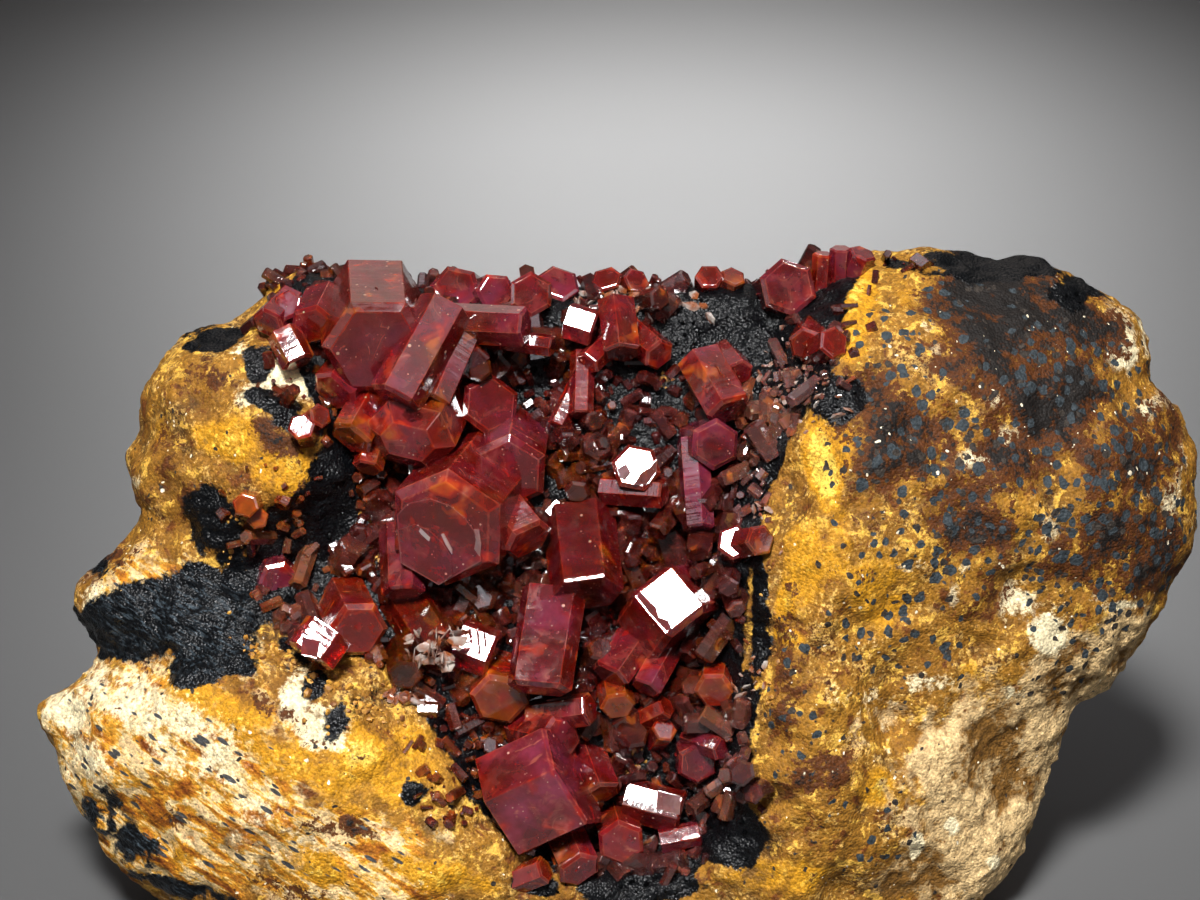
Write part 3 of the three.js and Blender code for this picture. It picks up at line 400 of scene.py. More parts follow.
YELLOW = [
    (23.2, 54.0, 2.0, 4.0, -10, 1.0), (22.5, 49.9, 1.4, 2.7, 0, 0.8),
    (19.6, 39.1, 1.4, 4.0, 8, 1.3), (21.4, 41.4, 1.1, 2.7, 0, 0.9), (18.0, 30.6, 2.2, 4.5, 0, 0.8),
    (16.2, 27.0, 1.1, 1.8, 0, 0.9), (16.6, 24.1, 1.4, 0.7, -10, 1.2),
    (24.3, 27.9, 4.1, 5.4, 0, 0.6), (-27.9, 54.0, 3.1, 1.8, 0, 0.9),
    (-29.7, 52.2, 2.7, 1.3, 0, 0.7), (-32.9, 41.4, 3.6, 2.2, -10, 0.9),
    (-27.9, 38.7, 3.1, 2.2, -10, 1.0), (-27.0, 31.7, 2.3, 1.3, 0, 1.2),
    (-19.8, 33.3, 1.6, 2.7, 0, 1.2), (-20.5, 30.6, 1.3, 1.8, 0, 1.0),
    (-31.5, 27.0, 2.2, 1.1, 0, 0.4), (-14.4, 3.1, 5.4, 1.6, -15, 1.0),
    (-18.0, 12.6, 4.5, 4.1, -30, 0.8), (-22.9, 11.2, 4.5, 3.6, -20, 0.7),
    (-21.6, 14.4, 3.6, 2.2, -20, 1.0), (16.2, 2.5, 5.4, 2.3, 0, 0.7),
    (24.3, 10.6, 2.0, 1.8, 0, 0.9), (32.4, 19.8, 0.9, 2.7, -30, 0.6),
    (-33.8, 23.4, 4.5, 1.3, -15, 0.6), (-33.8, 18.0, 6.3, 1.8, -20, 0.9),
    (-28.3, 13.9, 5.4, 2.0, -25, 0.8), (-24.3, 3.6, 5.4, 1.8, -15, 0.8),
    (-36.0, 4.5, 3.6, 2.2, -20, 0.5), (20.7, 32.4, 1.6, 4.5, 0, 0.6),
    (27.0, 54.9, 1.8, 2.7, 0, 0.5), (-40.0, 42.3, 1.8, 2.3, 0, 0.4),
]
SAND = [
    (36.0, 11.2, 8.1, 7.2, 0, 1.2), (43.2, 18.9, 5.6, 5.0, 0, 1.2), (32.4, 2.9, 6.7, 3.2, 0, 1.1),
    (46.8, 23.4, 4.0, 2.7, 20, 0.9), (38.7, 3.6, 5.4, 4.0, 0, 1.1), (25.2, 16.2, 3.6, 2.3, 0, 0.5),
    (30.6, 16.2, 2.7, 2.7, 0, 0.6), (-46.8, 17.6, 3.2, 3.1, 0, 0.5),
    (-31.0, 6.3, 4.5, 2.0, -30, 0.4),
]
DOTS = [
    (29.7, 38.7, 8.1, 9.9, 0, 1.0), (45.0, 34.2, 8.1, 9.9, 0, 1.1), (39.6, 47.7, 8.1, 5.4, 0, 0.9),
    (25.2, 49.5, 4.5, 4.5, 0, 0.7), (27.0, 25.2, 8.1, 6.3, 0, 0.6), (17.1, 18.9, 2.7, 8.1, 0, 0.6),
    (32.4, 54.0, 4.5, 3.6, 0, 0.7), (23.4, 6.3, 5.4, 5.4, 0, 0.4), (41.4, 19.8, 3.6, 3.6, 0, 0.35),
    (49.5, 39.6, 5.4, 10.8, 0, 0.5),
]
STREAKS = [
    (-38.7, 10.8, 13.5, 9.9, -20, 1.2), (-24.3, 4.5, 10.8, 5.4, -10, 1.0),
    (-45.9, 16.2, 5.4, 4.5, 0, 0.8), (-43.2, 4.5, 7.2, 4.5, -30, 0.8),
    (-38.5, 25.8, 8.5, 4.2, -18, 1.0),
]

# Where small crystals are sown besides the vug's own floor, and where the black floor stays bare.
SOWN = [
    (-30, 36, 3.6, 7.4, 0, 0.35), (-22, 25.5, 6, 3, 10, 0.7), (-29.6, 51.6, 2.2, 2.2, 0, 0.5),
    (-27, 45, 3, 6, 0, 0.6), (-8, 55.6, 20, 1.8, 0, 1.2), (-5, 57.4, 24, 1.5, 0, 1.3),
    (22, 56.6, 4, 1.8, 0, 0.8), (19, 51, 4, 5, 0, 0.9), (13.4, 8, 1.6, 4, 0, 0.7),
    (-14.6, 11.6, 2, 5, 30, 0.7),
]
BARE = [
    (11, 51.6, 5.4, 3, 0, 1.2), (-24.2, 35.4, 2, 5, 0, 0.9), (13.9, 26, 1.1, 6.5, 0, 0.9),
    (11.6, 6.4, 2.6, 2.6, 0, 1), (3.4, 1.2, 4.4, 1.2, 0, 0.8), (-28.4, 41.4, 2.4, 2, 0, 0.8),
    (-20, 16.6, 2.4, 1.6, -30, 0.8),
]
# Where the small crystals are more orange, and where they are smaller.
ORANGE_SIDE = [
    (-29, 34, 6, 11, 0, 1), (-23, 42, 3.6, 5, 0, 0.7), (-17, 21, 9, 6, 0, 0.7),
    (-13, 11, 4, 8, 25, 0.7), (12, 13, 4, 7, 0, 0.4), (2, 18, 4, 4, 0, 0.3), (16, 46, 5, 5, 0, 0.7),
    (14.6, 36, 2, 6, 0, 0.5),
]
SMALL_SIDE = [
    (-30, 36, 4, 10, 0, 0.5), (-13, 11, 4, 8, 25, 0.6), (5, 47, 8, 5, 0, 0.4), (14, 30, 2, 12, 0, 0.5),
    (18, 50, 7, 8, 0, 0.55), (-24, 42, 4, 6, 0, 0.4), (-4, 56.4, 26, 2.4, 0, 0.5),
    (-29, 50, 4, 6, 0, 0.5), (24, 57, 6, 3, 0, 0.6),
]
# Where ochre crumbs lie over the crust.
CRUMBS = [
    (-18, 18, 3, 2, 20, 1.0), (5.7, 46.9, 0.9, 0.7, 0, 1.0), (7.6, 31.2, 2.6, 1.2, 0, 0.9),
    (-29.4, 22.4, 4, 1.2, -30, 0.8), (-21, 17.4, 4, 1.6, -20, 0.8), (-20, 33, 1.8, 3, 0, 0.7),
    (3, 11, 1.4, 1.4, 0, 0.8), (14.8, 26, 0.5, 8, 0, 0.5), (-32, 33, 2, 4, 0, 0.3),
]
# Where the small crystals are pale with fine cracks.
PALE_SIDE = [
    (18, 46, 4, 5, 0, 0.16), (14.8, 36, 2, 6, 0, 0.14), (12, 13, 4, 5, 0, 0.08), (-27, 29, 4, 4, 0, 0.08),
    (4, 4, 4, 2, 0, 0.06), (-4, 32, 3, 3, 0, 0.1),
]
# Where splinters of broken crystal lie.
SHARDS = [
    (17.6, 46.6, 3.4, 3, 0, 1.0), (1, 54, 3.4, 1, 0, 1.0), (6.4, 53, 3, 1.2, 0, 0.8),
    (-14.4, 24, 2.4, 3, 0, 0.4), (14.4, 34, 1.4, 2, 0, 0.8), (13.6, 20.4, 1, 2, 0, 0.8),
    (4.4, 4, 2.4, 1.2, 0, 0.7),
]
# Broken-out hollows and knobs of the rock's front: (u, v, radius, depth); a knob's depth is below 0.
HOLLOWS = [
    (26.4, 16, 2, 1.6), (30.4, 15.6, 1.4, 1.2), (37.4, 27.6, 2.4, 1.4), (44.4, 17, 2.4, 1.2),
    (23.6, 45.6, 1.4, 0.9), (21.4, 0.6, 2, 1.4), (33, 22.8, 1.6, 0.8), (-8.8, 13.6, 1.2, 0.8),
    (-31.4, 9.6, 1.2, 0.7), (-47.6, 16.4, 2, 1), (38, 50, 6, -0.8), (30, 36, 5, -0.7),
    (45, 36, 5, -0.8), (-40, 36, 3, -0.9), (-38, 45, 3, -0.8), (-44, 12, 4, -0.8),
    (-30, 9, 5, -0.6), (24, 30, 4, -0.6), (22, 12, 4, -0.6), (36, 12, 4, 0.7),
]


# Last growth layers that show on one face of a crystal, as rows of: which of the node's prisms, which
# face, the outline (u, v) from that face's middle, how high it stands, how far it leans (degrees), the
# direction in which it rises, and how frosted it is.
LAYERS = {
    "great_hexagon": [
        (0, "tip", [(-4.2, 1.45), (-3.2, 2.5), (-1.2, 2.9), (0.6, 2.3), (1.9, 1.2), (2.7, 0.1), (3.1, -1.2),
                    (3.3, -2.6), (-0.5, -4.8), (-3.9, -2.85)], 0.15, 1, (0.5, 0.8), 0),
        (0, "tip", [(-4.1, 0.2), (-2.6, 0.7), (-1.3, 0.1), (-0.2, -0.9), (0.6, -2.2), (0.7, -3.9),
                    (-0.5, -4.75), (-3.85, -2.8)], 0.34, 1, (-0.7, 0.7), 0),
        (0, "tip", [(-2.5, 0.55), (-2.3, 0.6), (-1.2, -0.5), (-1.3, -0.8), (-2, -0.15)], 0.42, 1,
         (1, 0), 0.9),
        (0, "tip", [(-0.2, -0.2), (0, -0.15), (0.75, -1.6), (0.75, -1.95), (0.2, -1.1)], 0.42, 1,
         (1, 0), 0.9),
        (0, "tip", [(2.7, 0.2), (3.1, 0.1), (3.3, -1.1), (3.2, -2.2), (2.8, -1.6), (2.95, -0.7)], 0.24, 1,
         (1, 0), 0.4),
    ],
    "great_flash_crystal": [
        (0, "side", [(-2.9, 0.3), (-2.5, 0.8), (-1.9, 0.1), (-1.15, -0.6), (-0.9, -1.5), (0, -1.9),
                     (0.25, -2.5), (-0.3, -2.7), (-1.7, -1.2)], 0.02, 14, (0.75, 0.66), 0.08),
    ],
    "flash_crystals_upper_centre": [
        (0, "tip", [(-0.2, -1.7), (0.5, -0.6), (1.2, -0.2), (1.9, 0.6), (1.8, -0.6), (1.1, -1.5)], 0.05, 14,
         (-0.7, 0.7), 0.1),
        (0, "tip", [(-1.7, -0.2), (-0.9, 0.2), (-0.5, -0.5), (-1, -1.2), (-1.5, -0.9)], 0.05, 12,
         (1, 0), 0.1),
    ],
    "bright_crystals_bottom_right": [
        (0, "side", [(0.1, 1), (2.2, 0.5), (2.1, -1.1), (0, -0.6)], 0.04, 7, (0, 1), 0.3),
    ],
    "red_twins_lower_left": [
        (0, "side", [(-1.1, 0.3), (0.4, -0.1), (0.2, -1.5), (-1.2, -1.2)], 0.04, 12, (0, 1), 0.1),
    ],
    "flash_prism_centre_left": [
        (0, "side", [(-0.85, 1.3), (-0.67, 1.3), (-0.5, 0), (-0.66, 0)], 0.05, 24, (0, 1), 0),
        (0, "side", [(-0.15, 1.2), (0.03, 1.2), (0.25, -0.9), (0.08, -0.9)], 0.05, 18, (0, 1), 0),
        (0, "side", [(0.5, 0.9), (0.66, 0.9), (0.8, -0.3), (0.64, -0.3)], 0.05, 24, (0, 1), 0),
    ],
}


def blobs(table, u, v):
    """Soft ovals of a table, the strongest at each place."""
    total = np.zeros(len(u))
    for at_u, at_v, wide, tall, turn, strength in table:
        angle = math.radians(turn)
        x = ((u - at_u) * math.cos(angle) + (v - at_v) * math.sin(angle)) / wide
        y = ((v - at_v) * math.cos(angle) - (u - at_u) * math.sin(angle)) / tall
        total = np.maximum(total, strength * np.exp(-0.7 * np.hypot(x, y) ** 3))
    return np.clip(total, 0, 1.4)


def inside_vug(u, v):
    """Distance from points of the face to the vug's rim, above 0 inside it."""
    rim = np.array(VUG_RIM)
    nearest = np.full(len(u), 1e9)
    inside = np.zeros(len(u), bool)
    for (au, av), (bu, bv) in zip(rim, np.roll(rim, -1, 0)):
        run = np.array([bu - au, bv - av])
        along = np.clip(((u - au) * run[0] + (v - av) * run[1]) / (run @ run), 0, 1)
        nearest = np.minimum(nearest, np.hypot(u - au - along * run[0], v - av - along * run[1]))
        crosses = (av > v) != (bv > v)
        rise = (bv - av) if bv != av else 1e-9
        inside ^= crosses & (u < au + (v - av) * (bu - au) / rise)
    return np.where(inside, nearest, -nearest)


# ---- crystals ----
def closed_shell(bm, rings):
    """Faces that close rings of vertices, from the lowest ring to the highest, into one shell."""
    faces = [bm.faces.new(rings[-1]), bm.faces.new(rings[0][::-1])]
    for lower, upper in zip(rings, rings[1:]):
        for n in range(len(lower)):
            nxt = (n + 1) % len(lower)
            faces.append(bm.faces.new((lower[n], lower[nxt], upper[nxt], upper[n])))
    return faces


def hexagon(tip, wide, thick, inset):
    """Corners of a slightly uneven hexagon whose faces keep their 60 degree angles."""
    side_offset = wide * math.sqrt(3) / 4
    offsets = []
    for n in range(6):
        plain = thick / 2 if n % 3 == 0 else side_offset
        vary = math.sin(tip[0] * 12.9898 + tip[1] * 78.233 + n * 37.719)
        offsets.append(plain * (1 + 0.035 * vary) - inset)
    corners = []
    for n, offset in enumerate(offsets):
        angle = math.pi / 2 + n * math.pi / 3
        along = (offsets[(n + 1) % 6] - offset * 0.5) / math.sin(math.pi / 3)
        corners.append((
            offset * math.cos(angle) - along * math.sin(angle),
            offset * math.sin(angle) + along * math.cos(angle),
        ))
    return corners


def own_axes(crystal):
    """A crystal's own directions in the world: across, along one face's normal, out of its tip."""
    axis = direction(*crystal["axis"])
    side = direction(*crystal["side"])
    if crystal["side"] is FLASH:
        axis = (axis - side * axis.dot(side)).normalized()
    else:
        side = (side - axis * side.dot(axis)).normalized()
    return side.cross(axis), side, axis


def growth_layer(bm, crystal, face, outline, height, lean, rising, pale):
    """One measured growth layer on the tip or on the first side face of a crystal, as a closed shell."""
    _, side, axis = own_axes(crystal)
    middle = to_world(*crystal["tip"])
    normal = axis
    if face == "side":
        wide, thick, long = crystal["size"]
        reach = hexagon(crystal["tip"], wide, thick, 0)
        normal = side
        middle = middle + (side * max(y for _, y in reach) - axis * long / 2) * MM
    thin = bm.verts.layers.float["thin"]
    slope = math.tan(math.radians(lean))
    climbs = [slope * (du * rising[0] + dv * rising[1]) for du, dv in outline]
    faced = [normal.dot(line) for line in (RIGHT, UP, OUT)]
    rings = []
    for level, share in ((-0.3, 1), (1, 1), (1, 0.96)):
        ring = []
        for (du, dv), climb in zip(outline, climbs):
            dw = -(faced[0] * du + faced[1] * dv) / faced[2]
            on_plane = RIGHT * du + UP * dv + OUT * dw
            rise = height * level + (climb - min(climbs) if level > 0 else 0)
            ring.append(bm.verts.new(middle + (on_plane * share + normal * rise) * MM))
        rings.append(ring)
    frost = bm.verts.layers.float["frost"]
    for vert in rings[1] + rings[2]:
        vert[frost] = pale
    for vert in rings[1]:
        vert[thin] = 0.7
        vert[frost] = pale + 0.15
    shell = closed_shell(bm, rings)
    bmesh.ops.recalc_face_normals(bm, faces=shell)
    return shell


def growth_plates(bm, face, thin, rng):
    """Low angular plates left by the last growth of a face, each a closed shell sunk into it."""
    normal = face.normal.copy()
    middle = face.calc_center_median()
    along = (face.verts[1].co - face.verts[0].co).normalized()
    across = normal.cross(along)
    spans = [[(vert.co - middle).dot(line) for vert in face.verts] for line in (along, across)]
    half = [(max(span) - min(span)) / 2 for span in spans]
    made = []
    for _ in range(rng.choice((0, 1, 2, 2))):
        share = rng.uniform(0.16, 0.5)
        shift = [rng.uniform(-1, 1) * (0.8 - share) * reach for reach in half]
        height = rng.uniform(0.05, 0.13) * MM
        turn = rng.uniform(-0.2, 0.2)
        corners = rng.choice((4, 5, 6, 9))
        shares = [rng.uniform(0.7, 1) * share for _ in range(corners)]
        rings = []
        for rise, grown in ((-0.05 * MM, 1), (height, 1), (height, 0.97)):
            ring = []
            for n, each in enumerate(shares):
                angle = turn + 2 * math.pi * (n + 0.5) / corners
                ring.append(bm.verts.new(
                    middle + normal * rise
                    + along * (shift[0] + half[0] * each * grown * math.cos(angle))
                    + across * (shift[1] + half[1] * each * grown * math.sin(angle))
                ))
            rings.append(ring)
        for vert in rings[1]:
            vert[thin] = 0.7
        made += closed_shell(bm, rings)
    bmesh.ops.recalc_face_normals(bm, faces=made)
    return made


LEAST_PLATED = 2.5  # millimetres across, below which a crystal has no growth plates


def grow(bm, crystal, warmth, clear, rng, layers=()):
    """Adds one crystal: a closed prism with narrow pyramid faces, worn edges and growth plates."""
    wide, thick, long = crystal["size"]
    across, side, axis = own_axes(crystal)
    tip = to_world(*crystal["tip"])
    cut = crystal["bevel"] * wide
    slope = crystal["slope"]
    levels = [(0, cut), (-cut * slope, 0)]
    if crystal["ends"] == 2:
        levels += [(-long + cut * slope, 0), (-long, cut)]
    else:
        levels += [(-long - 0.5, 0)]
    rings = []
    for along, inset in levels:
        corners = hexagon(crystal["tip"], wide, thick, inset)
        rings.append([bm.verts.new(tip + (across * x + side * y + axis * along) * MM) for x, y in corners])
    faces = [bm.faces.new(rings[0]), bm.faces.new(rings[-1][::-1])]
    for upper, lower in zip(rings, rings[1:]):
        for n in range(6):
            faces.append(bm.faces.new((upper[n], lower[n], lower[(n + 1) % 6], upper[(n + 1) % 6])))
    bmesh.ops.recalc_face_normals(bm, faces=faces)
    edge_width = (0.02 + 0.004 * wide) * MM
    edges = dict.fromkeys(edge for face in faces for edge in face.edges)
    chamfer = bmesh.ops.bevel(
        bm, geom=list(edges), offset=edge_width, offset_type="OFFSET", segments=1, affect="EDGES",
        clamp_overlap=True,
    )
    narrow = set(chamfer["faces"])
    reach = {vert for face in narrow for vert in face.verts}
    seen = {face for vert in reach for face in vert.link_faces}
    size = min(wide, thick)
    bm.faces.index_update()
    flat = sorted((face for face in seen if face not in narrow), key=lambda face: face.index)
    broad = [face for face in flat if face.calc_area() > 0.12 * (size * MM) ** 2]
    slim = [face for face in flat if face not in broad]
    thin = bm.verts.layers.float["thin"]
    for vert in reach:
        vert[thin] = 1
    # Rings inside each broad face, at a share of the crystal's size: `thin` fades from the edge inwards.
    for share, edge in ((0.012, 0.5), (0.04, 0.34), (0.07, 0.16), (0.1, 0)):
        rim = bmesh.ops.inset_individual(bm, faces=broad, thickness=share * size * MM, use_even_offset=True)
        seen.update(rim["faces"])
        for face in broad:
            for vert in face.verts:
                vert[thin] = edge
    rim = bmesh.ops.inset_individual(bm, faces=slim, thickness=0.008 * size * MM, use_even_offset=True)
    seen.update(rim["faces"])
    for face in slim:
        for vert in face.verts:
            vert[thin] = 0.4
    if size > LEAST_PLATED:
        for face in broad:
            seen.update(growth_plates(bm, face, thin, rng))
    for layer in layers:
        seen.update(growth_layer(bm, crystal, *layer))
    warm = bm.verts.layers.float["warmth"]
    glass = bm.verts.layers.float["clear"]
    own = bm.verts.layers.float_vector["own"]
    for vert in {vert for face in seen for vert in face.verts}:
        vert[warm] = warmth
        vert[glass] = clear
        away = (vert.co - tip) / MM
        vert[own] = (away.dot(across), away.dot(side), away.dot(axis))


def new_crystals(layers=("thin", "clear", "warmth", "frost")):
    """An empty mesh in the making, with the attributes that the crystals' material reads."""
    bm = bmesh.new()
    for name in layers:
        bm.verts.layers.float.new(name)
    bm.verts.layers.float_vector.new("own")
    return bm


def finish_crystals(bm, name):
    mesh = bpy.data.meshes.new(name)
    bm.to_mesh(mesh)
    bm.free()
    return mesh


# ---- materials ----
ROSE = "#a04c46"  # healed cracks inside a crystal
# Pale red of the short healed cracks, and of the painted highlights along edges and growth lines.
CRACK_AND_EDGE_HIGHLIGHT = "#bc6a52"
# Pale flecks of included dust, which also serve as painted glints.
DUST_AND_GLINT = "#e0b8a0"
FROST = "#d9bdb8"
# From mauve through crimson to orange.
RED_STOPS = (0, 0.3, 0.55, 0.8, 1)
CRYSTAL_REDS = ("#7c283e", "#7c1a24", "#8a1612", "#aa2c0e", "#c05a14")
DRUSE_REDS = ("#441619", "#501814", "#5e1c10", "#84380f", "#b45c1c")
# Bands of the streaky rock, from rust through cream and back.
BANDS = (
    (0.34, "#7c3c0e"), (0.43, "#bc7418"), (0.49, "#dca032"), (0.53, "#efcf94"), (0.62, "#e6c08a"),
    (0.68, "#b8762a"),
)


def new_material(name):
    """An empty material, its tree, and the place on the object that its patterns are laid by."""
    material = bpy.data.materials.new(name)
    material.use_nodes = True
    tree = material.node_tree
    tree.nodes.clear()
    return material, tree, add(tree, "ShaderNodeTexCoord").outputs["Object"]


def set_stops(ramp, stops):
    """Gives a colour ramp its stops, as (position, hex colour)."""
    while len(ramp.elements) < len(stops):
        ramp.elements.new(0.5)
    for element, (at, code) in zip(ramp.elements, stops):
        element.position = at
        element.color = linear(code)


def cells(tree, place, scale, channel):
    """Scattered cells: each one's own number from 0 to 1, and the distance from its middle."""
    found = add(tree, "ShaderNodeTexVoronoi", {"Vector": place, "Scale": scale}).outputs
    split = add(tree, "ShaderNodeSeparateColor", {"Color": found["Color"]})
    return split.outputs[channel], found["Distance"]


def vanadinite(name, rough, flecks, reds):
    """Lead chlorovanadate: adamantine gloss, deep red body with a painted orange glow where it is thin."""
    material, tree, place = new_material(name)
    warmth, thin, clear, frost = (
        add(tree, "ShaderNodeAttribute", attribute_name=label).outputs["Fac"]
        for label in ("warmth", "thin", "clear", "frost")
    )
    veils, zoning, glow, clouds, layers, terraces, ripple, swell = (
        add(tree, "ShaderNodeTexNoise", {
            "Vector": place, "Scale": 1 / (size * MM), "Detail": detail, "Roughness": coarse,
            "Distortion": bend,
        }).outputs["Fac"]
        for size, detail, coarse, bend in (
            (2.2, 6, 0.66, 0.9), (4.4, 3, 0.5, 0), (2.1, 2, 0.5, 0.6), (1.3, 5, 0.6, 0),
            (5.2, 1, 0.5, 0.3), (3.4, 1.5, 0.5, 0.4), (0.7, 3, 0.55, 0), (4.5, 0, 0.5, 0),
        )
    )
    flat = add(tree, "ShaderNodeMapping", {
        "Vector": place, "Rotation": (0.5, 0.3, 0.7),
        "Scale": (1 / (2.6 * MM), 1 / (0.5 * MM), 1 / (1.6 * MM)),
    }).outputs[0]
    cracks = add(tree, "ShaderNodeTexNoise", {
        "Vector": flat, "Scale": 1, "Detail": 3, "Distortion": 0.5,
    }).outputs["Fac"]
    layers = add(tree, "ShaderNodeMath", {0: layers, 1: 22}, operation="MULTIPLY").outputs[0]
    layers = add(tree, "ShaderNodeMath", {0: layers, 1: 1}, operation="PINGPONG").outputs[0]
    glow, milk, mauve, cracks, line, there, edge_highlight, broken, depth, gloss = (
        add(tree, "ShaderNodeMapRange", {
            "Value": value, "From Min": start, "From Max": end, "To Min": least, "To Max": most,
        }, interpolation_type=curve).outputs[0]
        for value, start, end, least, most, curve in (
            (glow, 0.55, 0.74, 0, 1, "SMOOTHSTEP"),  # painted glow: here and there light is painted as coming through
            (veils, 0.47, 0.7, 0, 0.6, "SMOOTHSTEP"),  # milky healed cracks
            (warmth, 0.1, 0.9, 1.3, 0.4, "LINEAR"),  # mauve crystals are milkier
            (cracks, 0.66, 0.76, 0, 0.7, "SMOOTHSTEP"),  # short healed cracks that shine pale
            (layers, 0.88, 0.97, 0, 1, "LINEAR"),  # painted highlights: edges of growth layers wander as thin pale lines
            (veils, 0.5, 0.62, 0, 0.42, "SMOOTHSTEP"),  # where those lines show
            (thin, 0.6, 0.95, 0, 0.4, "LINEAR"),  # painted highlight along the pale edges
            (veils, 0.46, 0.6, 0.05, 1, "LINEAR"),  # which are broken up
            (zoning, 0.38, 0.6, 1.1, 0.45, "LINEAR"),  # broad darker clouds deep inside
            (veils, 0.3, 0.8, rough * 0.6, rough * 1.8, "LINEAR"),
        )
    )
    clouds = add(tree, "ShaderNodeMapRange", {
        "Value": clouds, "From Min": 0.3, "From Max": 0.7, "To Min": 0.72, "To Max": 1.3,
    }, clamp=False).outputs[0]
    # Painted glow: warmer where the crystal is thin and where light is painted coming through. Warmer too
    # where its growth zones are purer.
    heat = warmth
    for value, weight in ((thin, 0.18), (zoning, 2.0), (glow, 0.36)):
        heat = add(
            tree, "ShaderNodeMath", {0: value, 1: weight, 2: heat}, operation="MULTIPLY_ADD",
        ).outputs[0]
    heat = add(tree, "ShaderNodeMath", {0: heat, 1: 1.0}, operation="SUBTRACT", use_clamp=True).outputs[0]
    ramp = add(tree, "ShaderNodeValToRGB", {"Fac": heat})
    set_stops(ramp.color_ramp, list(zip(RED_STOPS, reds)))
    body = ramp.outputs["Color"]
    milk, line, edge_highlight, frost = (
        add(tree, "ShaderNodeMath", {0: value, 1: share}, operation="MULTIPLY").outputs[0]
        for value, share in ((milk, mauve), (line, there), (edge_highlight, broken), (frost, veils))
    )
    # Painted highlights along the crystal's edges and its growth lines.
    pale = add(tree, "ShaderNodeMath", {0: line, 1: edge_highlight}, operation="MAXIMUM").outputs[0]
    frost = add(tree, "ShaderNodeMath", {0: frost, 1: 1.8}, operation="MULTIPLY", use_clamp=True).outputs[0]
    # Less light comes back from deep inside; a painted glow lightens the body near the edges and where light
    # is painted coming through.
    for value, weight in ((thin, 0.2), (glow, 0.5)):
        depth = add(
            tree, "ShaderNodeMath", {0: value, 1: weight, 2: depth}, operation="MULTIPLY_ADD",
        ).outputs[0]
    # Each layer either lightens and darkens the body by its share or lays its colour over it.
    for share, code in (
        (milk, ROSE), (clouds, None), (cracks, CRACK_AND_EDGE_HIGHLIGHT), (pale, CRACK_AND_EDGE_HIGHLIGHT), (depth, None), (frost, FROST),
    ):
        if code:
            over = add(tree, "ShaderNodeMix", {0: share, 6: body, 7: linear(code)}, data_type="RGBA")
            body = over.outputs[2]
        else:
            body = add(tree, "ShaderNodeVectorMath", {0: body, 3: share}, operation="SCALE").outputs[0]
    # Fine pale motes, then larger flecks of included dust; both are also painted glints.
    for size, channel, start, least, weight in ((0.42, 1, 0.72, 0, 0.55), (0.8, 0, 1 - flecks, 0.04, 1)):
        number, distance = cells(tree, place, 1 / (size * MM), channel)
        reach = add(tree, "ShaderNodeMapRange", {
            "Value": number, "From Min": start, "From Max": 1, "To Min": least, "To Max": 0.2,
        }).outputs[0]
        fleck_and_glint = add(tree, "ShaderNodeMath", {0: distance, 1: reach}, operation="LESS_THAN").outputs[0]
        fleck_and_glint = add(tree, "ShaderNodeMath", {0: fleck_and_glint, 1: weight}, operation="MULTIPLY").outputs[0]
        body = add(tree, "ShaderNodeMix", {0: fleck_and_glint, 6: body, 7: linear(DUST_AND_GLINT)}, data_type="RGBA").outputs[2]
    # Growth steps are low rounded terraces, and growth lines run round the prism, square to its axis.
    own = add(tree, "ShaderNodeAttribute", attribute_name="own").outputs["Vector"]
    squeezed = add(
        tree, "ShaderNodeVectorMath", {0: own, 1: (0.1, 0.1, 1.9)}, operation="MULTIPLY",
    ).outputs[0]
    lines = add(tree, "ShaderNodeTexNoise", {"Vector": squeezed, "Scale": 1, "Detail": 4}).outputs["Fac"]
    relief = add(tree, "ShaderNodeMath", {0: terraces, 1: 0.055}, operation="SNAP").outputs[0]
    # No face is quite flat: each mirrors the room in a slow bend, the swell.
    for value, weight in ((ripple, 0.05), (lines, 0.12), (swell, 0.7)):
        relief = add(
            tree, "ShaderNodeMath", {0: value, 1: weight, 2: relief}, operation="MULTIPLY_ADD",
        ).outputs[0]
    bump = add(tree, "ShaderNodeBump", {"Height": relief, "Strength": 0.5, "Distance": 0.5 * MM})
    shader = add(tree, "ShaderNodeBsdfPrincipled", {
        "Base Color": body, "Roughness": gloss, "IOR": 2.1, "Transmission Weight": clear,
        "Subsurface Weight": 0.3, "Subsurface Radius": (1.0, 0.16, 0.06), "Subsurface Scale": 0.5 * MM,
        "Normal": bump.outputs["Normal"],
    })
    # Red light goes through millimetres of it, green and blue are lost within tenths of one.
    inside = add(tree, "ShaderNodeVolumeAbsorption", {"Color": (0.82, 0.28, 0.16, 1), "Density": 900})
    add(tree, "ShaderNodeOutputMaterial", {"Surface": shader.outputs[0], "Volume": inside.outputs[0]})
    return material


def lay(tree, under, colour, mask, ragged, low, high):
    """Lays a colour over another where the mask, its edge broken by noise, goes from low to high."""
    edge = add(tree, "ShaderNodeMath", {0: mask, 1: ragged}, operation="ADD").outputs[0]
    share = add(tree, "ShaderNodeMapRange", {"Value": edge, "From Min": low, "From Max": high},
                interpolation_type="SMOOTHSTEP").outputs[0]
    if isinstance(colour, str):
        colour = linear(colour)
    over = add(tree, "ShaderNodeMix", {0: share, 6: under, 7: colour}, data_type="RGBA").outputs[2]
    return over, share


